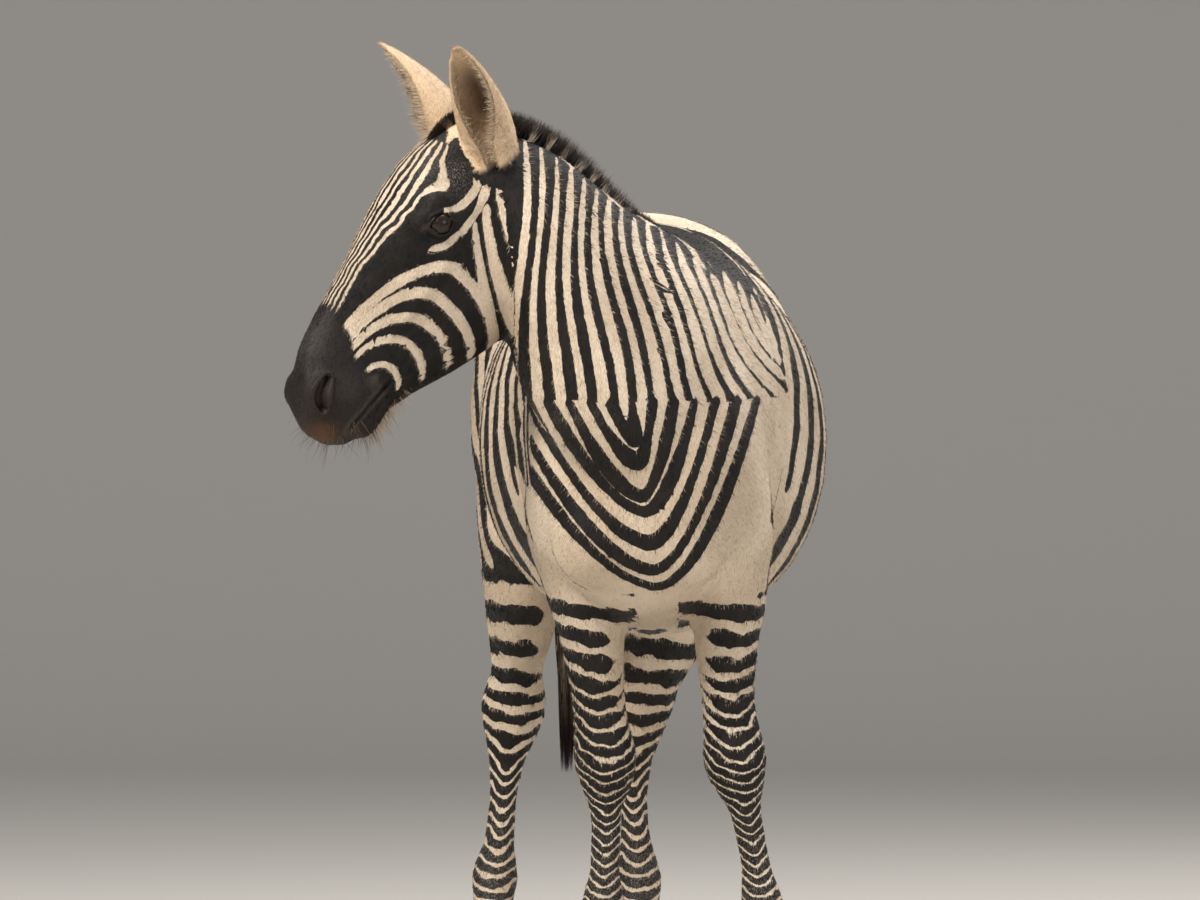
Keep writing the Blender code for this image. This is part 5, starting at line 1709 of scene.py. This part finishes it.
# %% Feather behind the fetlocks and round the coronets
CORONET_TOP, CORONET_SLOPE = 0.062, 0.357      # height above the ground, fall towards the heel
FETLOCK_BLADES = 900
places, normals = corners_of(skin.data), normals_of(skin.data)
near = body_places(places)
behind = smooth_step(0.2, 0.7, normals[:, 1]) * np.exp(-(((near[:, 2] - 0.165) / 0.022) ** 2))
hoof_middle = np.where(near[:, 1] > 0.5, 0.942, -0.022)
coronet_height = near[:, 2] - CORONET_TOP + CORONET_SLOPE * (near[:, 1] - hoof_middle)
coronet = np.exp(-((coronet_height / 0.006) ** 2))
chance = (behind + 0.8 * coronet) * (near[:, 2] < 0.24)
pick = dice.choice(len(places), FETLOCK_BLADES * 4, p=chance / chance.sum())
lean = turned_about(unit(normals[pick] * 0.30 + np.array((0, 0.15, -1.0))), 0.10)
lengths = dice.uniform(0.008, 0.018, len(pick))
feather_paths = blade_paths(places[pick], lean, lengths, 4, 0.1)
feather = grow("fetlock_hair", feather_paths, np.full(len(pick), 0.0010), normals[pick])
print("fetlock hair of", len(feather.data.polygons), "faces")

# %% Patches of the texture sheet for the long hair
skin_tree = BVHTree.FromPolygons(corners_of(skin.data).tolist(), triangles.tolist())
triangle_spots = triangle_uvs.mean(axis=1)
POINTS_OF_A_TUFT = (
    (mane, 7), (tail, 19), (ear_tufts, 7), (lashes, 9), (whiskers, 11), (chin, 9), (feather, 7),
)
for piece, points_each in POINTS_OF_A_TUFT:
    ends = corners_of(piece.data).reshape(-1, points_each, 3)
    blade_roots = (ends[:, 0] + ends[:, 1]) / 2
    nearest = [skin_tree.find_nearest(place)[2] for place in blade_roots.tolist()]
    put_patches(piece, triangle_spots[nearest], points_each)
print("every blade has its patch")
# %% [markdown]
# ## Finishes
# The hide is drawn by its marks. A cosine of each phase gives the distance to the edge of
# a stripe, the three systems are mixed by their shares, and fine noise, stretched along the
# hairs, pushes the edge in and out by two millimetres, as hairs of one stripe lie over the
# next. Cream and black both vary from hair to hair, and the tint is laid over them last.

# %% Node helpers
def node_of(tree, kind, **inputs):
    """A node with some of its sockets set to numbers or joined to other sockets."""
    made = tree.nodes.new(kind)
    for name, value in inputs.items():
        numbered = name[0] == "i" and name[1:].isdigit()
        socket = made.inputs[int(name[1:]) if numbered else name.replace("_", " ")]
        if isinstance(value, bpy.types.NodeSocket):
            tree.links.new(value, socket)
        else:
            socket.default_value = value
    return made


def figure(tree, operation, first, second=0.0, third=0.0):
    made = node_of(tree, "ShaderNodeMath", i0=first, i1=second, i2=third)
    made.operation = operation
    return made.outputs[0]


def blend(tree, share, first, second):
    """A mix of two numbers."""
    made = tree.nodes.new("ShaderNodeMix")
    for name, value in zip(("Factor", "A", "B"), (share, first, second)):
        socket = next(s for s in made.inputs if s.name == name and s.type == "VALUE")
        if isinstance(value, bpy.types.NodeSocket):
            tree.links.new(value, socket)
        else:
            socket.default_value = value
    return next(s for s in made.outputs if s.type == "VALUE")


def blend_colour(tree, share, first, second, way="MIX"):
    made = tree.nodes.new("ShaderNodeMix")
    made.data_type = "RGBA"
    made.blend_type = way
    sockets = [made.inputs["Factor"]] + [s for s in made.inputs if s.type == "RGBA"]
    for socket, value in zip(sockets, (share, first, second)):
        if isinstance(value, bpy.types.NodeSocket):
            tree.links.new(value, socket)
        else:
            socket.default_value = value if isinstance(value, float) else (*value, 1)
    return next(s for s in made.outputs if s.type == "RGBA")


def marks_of(tree, name):
    """The three numbers of a stored mark."""
    held = tree.nodes.new("ShaderNodeAttribute")
    held.attribute_name = name
    split = node_of(tree, "ShaderNodeSeparateXYZ", Vector=held.outputs["Vector"])
    return split.outputs[0], split.outputs[1], split.outputs[2]


def grain_of(tree, scale, stretch=(1.0, 1.0, 1.0), detail=2.0):
    """Noise on the object's own coordinates, finer in the directions with a larger stretch."""
    place = tree.nodes.new("ShaderNodeTexCoord").outputs["Object"]
    turned = node_of(tree, "ShaderNodeMapping", Vector=place, Scale=stretch)
    noise = node_of(tree, "ShaderNodeTexNoise", Vector=turned.outputs[0], Scale=scale, Detail=detail)
    return noise.outputs["Fac"]


def ramp(tree, value, low, high, to_low=0.0, to_high=1.0):
    made = node_of(tree, "ShaderNodeMapRange", Value=value,
                   From_Min=low, From_Max=high, To_Min=to_low, To_Max=to_high)
    made.interpolation_type = "SMOOTHSTEP"
    return made.outputs[0]


# %% The hide and the hair
CREAM, CREAM_DEEP = (0.71, 0.590, 0.455), (0.55, 0.435, 0.315)
BLACK, BLACK_WARM = (0.0055, 0.0044, 0.0038), (0.0130, 0.0090, 0.0066)
# grey of the specks: painted sheen on the forehead, grizzled hair low on the legs
SHEEN_AND_GRIZZLE_GREY = (0.20, 0.175, 0.150)
HAIR_EDGE = 0.0026             # how far hairs carry the edge of a stripe, in metres
PAIR_TURN = 2 * math.pi


def stripe_level(tree, name, waver, most, reach):
    """Distance into the white of one system of stripes, whose phase wavers by a reach in metres.

    It wavers by no more than a given part of a pair of stripes.
    """
    phase, bias, pair = marks_of(tree, name)
    reach = figure(tree, "MINIMUM", figure(tree, "DIVIDE", reach, pair), most)
    phase = figure(tree, "MULTIPLY_ADD", figure(tree, "SUBTRACT", waver, 0.5), reach, phase)
    wave = figure(tree, "COSINE", figure(tree, "MULTIPLY", phase, PAIR_TURN))
    return figure(tree, "MULTIPLY", figure(tree, "ADD", wave, bias), figure(tree, "DIVIDE", pair, PAIR_TURN))


def layered_strokes(tree, at_name, half_name):
    """Distance into the nearest of the strokes kept in three layers."""
    depths = [
        figure(tree, "SUBTRACT", half, figure(tree, "ABSOLUTE", at))
        for at, half in zip(marks_of(tree, at_name), marks_of(tree, half_name))
    ]
    return figure(tree, "MAXIMUM", figure(tree, "MAXIMUM", depths[0], depths[1]), depths[2])


def hide_finish(name, tip_colour=None, relief=0.0007):
    """The striped hide, or hair that carries the same stripes and darkens to its tips."""
    finish = bpy.data.materials.new(name)
    finish.use_nodes = True
    tree = finish.node_tree
    shader = tree.nodes["Principled BSDF"]
    waver = grain_of(tree, 8.0, detail=2.5)
    belts = stripe_level(tree, "belts", waver, 0.85, 0.072)
    rings = stripe_level(tree, "rings", grain_of(tree, 26.0, (1.0, 1.0, 1.5), 3.0), 1.15, 0.024)
    ground, ring_share, stroke_share = marks_of(tree, "strokes")
    level = figure(tree, "MAXIMUM", ground, layered_strokes(tree, "white_at", "white_half"))
    black = layered_strokes(tree, "black_at", "black_half")
    level = figure(tree, "MINIMUM", level, figure(tree, "MULTIPLY", black, -1.0))
    level = figure(tree, "MULTIPLY_ADD", figure(tree, "SUBTRACT", grain_of(tree, 60.0), 0.5), 0.0045, level)
    level = blend(tree, stroke_share, blend(tree, ring_share, belts, rings), level)
    strands = grain_of(tree, 520.0, (1.0, 1.0, 0.28))
    level = figure(tree, "MULTIPLY_ADD", figure(tree, "SUBTRACT", strands, 0.5), HAIR_EDGE, level)
    white = ramp(tree, level, -0.0007, 0.0007)

    patches = ramp(tree, grain_of(tree, 5.0, detail=4.0), 0.35, 0.65)
    cream = blend_colour(tree, patches, CREAM_DEEP, CREAM)
    soot = blend_colour(tree, ramp(tree, grain_of(tree, 30.0, detail=4.0), 0.35, 0.70), BLACK, BLACK_WARM)
    # Grey specks over the black: painted sheen on the forehead, grizzled hair low on the legs.
    sheen_and_grizzle = tree.nodes.new("ShaderNodeAttribute")
    sheen_and_grizzle.attribute_name = "sheen_and_grizzle"
    specks = ramp(tree, grain_of(tree, 700.0, (1.0, 1.0, 0.35), 1.0), 0.50, 0.62)
    soot = blend_colour(tree, figure(tree, "MULTIPLY", specks, sheen_and_grizzle.outputs["Fac"]), soot, SHEEN_AND_GRIZZLE_GREY)
    colour = blend_colour(tree, white, soot, cream)
    tint = tree.nodes.new("ShaderNodeAttribute")
    tint.attribute_name = "tint"
    ragged = figure(tree, "MULTIPLY_ADD", figure(tree, "SUBTRACT", strands, 0.5), 0.9, tint.outputs["Alpha"])
    colour = blend_colour(tree, ramp(tree, ragged, 0.30, 0.70), colour, tint.outputs["Color"])
    fine = grain_of(tree, 950.0, (1.0, 1.0, 0.20), 3.0)
    shade = ramp(tree, fine, 0.30, 0.70, 0.74, 1.14)
    grey = node_of(tree, "ShaderNodeCombineXYZ", X=shade, Y=shade, Z=shade).outputs[0]
    colour = blend_colour(tree, 1.0, colour, grey, "MULTIPLY")
    if tip_colour:
        tip = tree.nodes.new("ShaderNodeAttribute")
        tip.attribute_name = "tip"
        colour = blend_colour(tree, ramp(tree, tip.outputs["Fac"], 0.50, 0.90), colour, tip_colour)
    tree.links.new(colour, shader.inputs["Base Color"])
    tree.links.new(ramp(tree, fine, 0.25, 0.75, 0.50, 0.66), shader.inputs["Roughness"])
    shader.inputs["Specular IOR Level"].default_value = 0.26
    if relief:
        bump = node_of(tree, "ShaderNodeBump", Height=fine, Strength=0.55, Distance=relief)
        tree.links.new(bump.outputs[0], shader.inputs["Normal"])
    return finish


def clothe(piece, finish):
    piece.data.materials.clear()
    piece.data.materials.append(finish)


hide = hide_finish("hide")
coat_hair = hide_finish("coat_hair", relief=0.0)
mane_finish = hide_finish("mane_hair", (0.030, 0.019, 0.013), relief=0.0)
clothe(skin, hide)
for piece in (*coats, ear_tufts, lashes, whiskers, chin, feather):
    clothe(piece, coat_hair)
clothe(mane, mane_finish)
clothe(tail, mane_finish)
print("hide and hair finished")

# %% [markdown]
# The eye is dark brown horn under a wet clear coat. Its iris is a shade lighter than the
# long pupil that lies level across it, and its rim goes to black. Horn is a dull grey brown
# with fine streaks that run down the wall and rings across it.

# %% Eye and horn
PUPIL_HALVES = (0.34, 0.17)            # half length and half height of the pupil, of the eye's radius


def length_of(tree, x, y):
    squares = figure(tree, "ADD", figure(tree, "POWER", x, 2.0), figure(tree, "POWER", y, 2.0))
    return figure(tree, "SQRT", squares)


def eye_finish():
    finish = bpy.data.materials.new("eye")
    finish.use_nodes = True
    tree = finish.node_tree
    shader = tree.nodes["Principled BSDF"]
    x, y, z = marks_of(tree, "gaze")
    wide, tall = (figure(tree, "DIVIDE", value, half) for value, half in zip((x, y), PUPIL_HALVES))
    level = length_of(tree, wide, tall)
    pupil = ramp(tree, level, 0.90, 1.15)
    round_ = length_of(tree, x, y)
    streaks = ramp(tree, grain_of(tree, 900.0, detail=3.0), 0.3, 0.7)
    iris = blend_colour(tree, streaks, (0.0110, 0.0060, 0.0035), (0.0230, 0.0120, 0.0060))
    colour = blend_colour(tree, pupil, (0.0025, 0.0022, 0.0030), iris)
    colour = blend_colour(tree, ramp(tree, round_, 0.62, 0.80), colour, (0.012, 0.0080, 0.0060))
    tree.links.new(colour, shader.inputs["Base Color"])
    shader.inputs["Roughness"].default_value = 0.45
    shader.inputs["Specular IOR Level"].default_value = 0.15
    shader.inputs["Coat Weight"].default_value = 0.50
    shader.inputs["Coat Roughness"].default_value = 0.03
    return finish


def horn_finish():
    finish = bpy.data.materials.new("hoof_horn")
    finish.use_nodes = True
    tree = finish.node_tree
    shader = tree.nodes["Principled BSDF"]
    streaks = grain_of(tree, 420.0, (1.0, 1.0, 0.06), 4.0)
    colour = blend_colour(tree, ramp(tree, streaks, 0.35, 0.65), (0.045, 0.034, 0.026), (0.115, 0.088, 0.064))
    below = tree.nodes.new("ShaderNodeAttribute")
    below.attribute_name = "below"
    rings = figure(tree, "SINE", figure(tree, "MULTIPLY", below.outputs["Fac"], PAIR_TURN / RING_SPACING))
    colour = blend_colour(tree, ramp(tree, rings, -1.0, 1.0, 0.0, 0.35), colour, (0.150, 0.120, 0.090))
    dust = ramp(tree, grain_of(tree, 30.0), 0.5, 0.8, 0.0, 0.6)
    colour = blend_colour(tree, dust, colour, (0.22, 0.17, 0.12))
    tree.links.new(colour, shader.inputs["Base Color"])
    tree.links.new(ramp(tree, streaks, 0.3, 0.7, 0.42, 0.62), shader.inputs["Roughness"])
    bump = node_of(tree, "ShaderNodeBump", Height=streaks, Strength=0.4, Distance=0.0006)
    tree.links.new(bump.outputs[0], shader.inputs["Normal"])
    return finish


eye_gloss = eye_finish()
for ball in eyeballs.values():
    clothe(ball, eye_gloss)
horn = horn_finish()
for hoof in hooves.values():
    clothe(hoof, horn)
print("eyes and hooves finished")
HANDED_OVER = [
    (skin, FLESH + ["ear_left", "ear_right"], "hide"),
    (mane, ["mane"], "long_hair"),
    (tail, ["tail_tuft"], "long_hair"),
]
HANDED_OVER += [(eyeballs[side], ["eye_" + side], "eye") for side in eyes]
HANDED_OVER += [(hooves[leg], ["hoof_" + leg], "hoof_horn") for leg in LEGS]
HANDED_OVER += [(piece, [], "hide") for piece in coats]
HANDED_OVER += [(piece, [], "long_hair") for piece in (ear_tufts, lashes, whiskers, chin, feather)]
# %% [markdown]
# ## The pieces on the body
# Each piece rides on the one body of this still model, and the solids it stands for are hidden.

# %% Riding and replacing
for piece, nodes, slot_name in HANDED_OVER:
    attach(piece, "root")
    if nodes:
        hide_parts(*nodes)
bpy.ops.object.select_all(action="DESELECT")
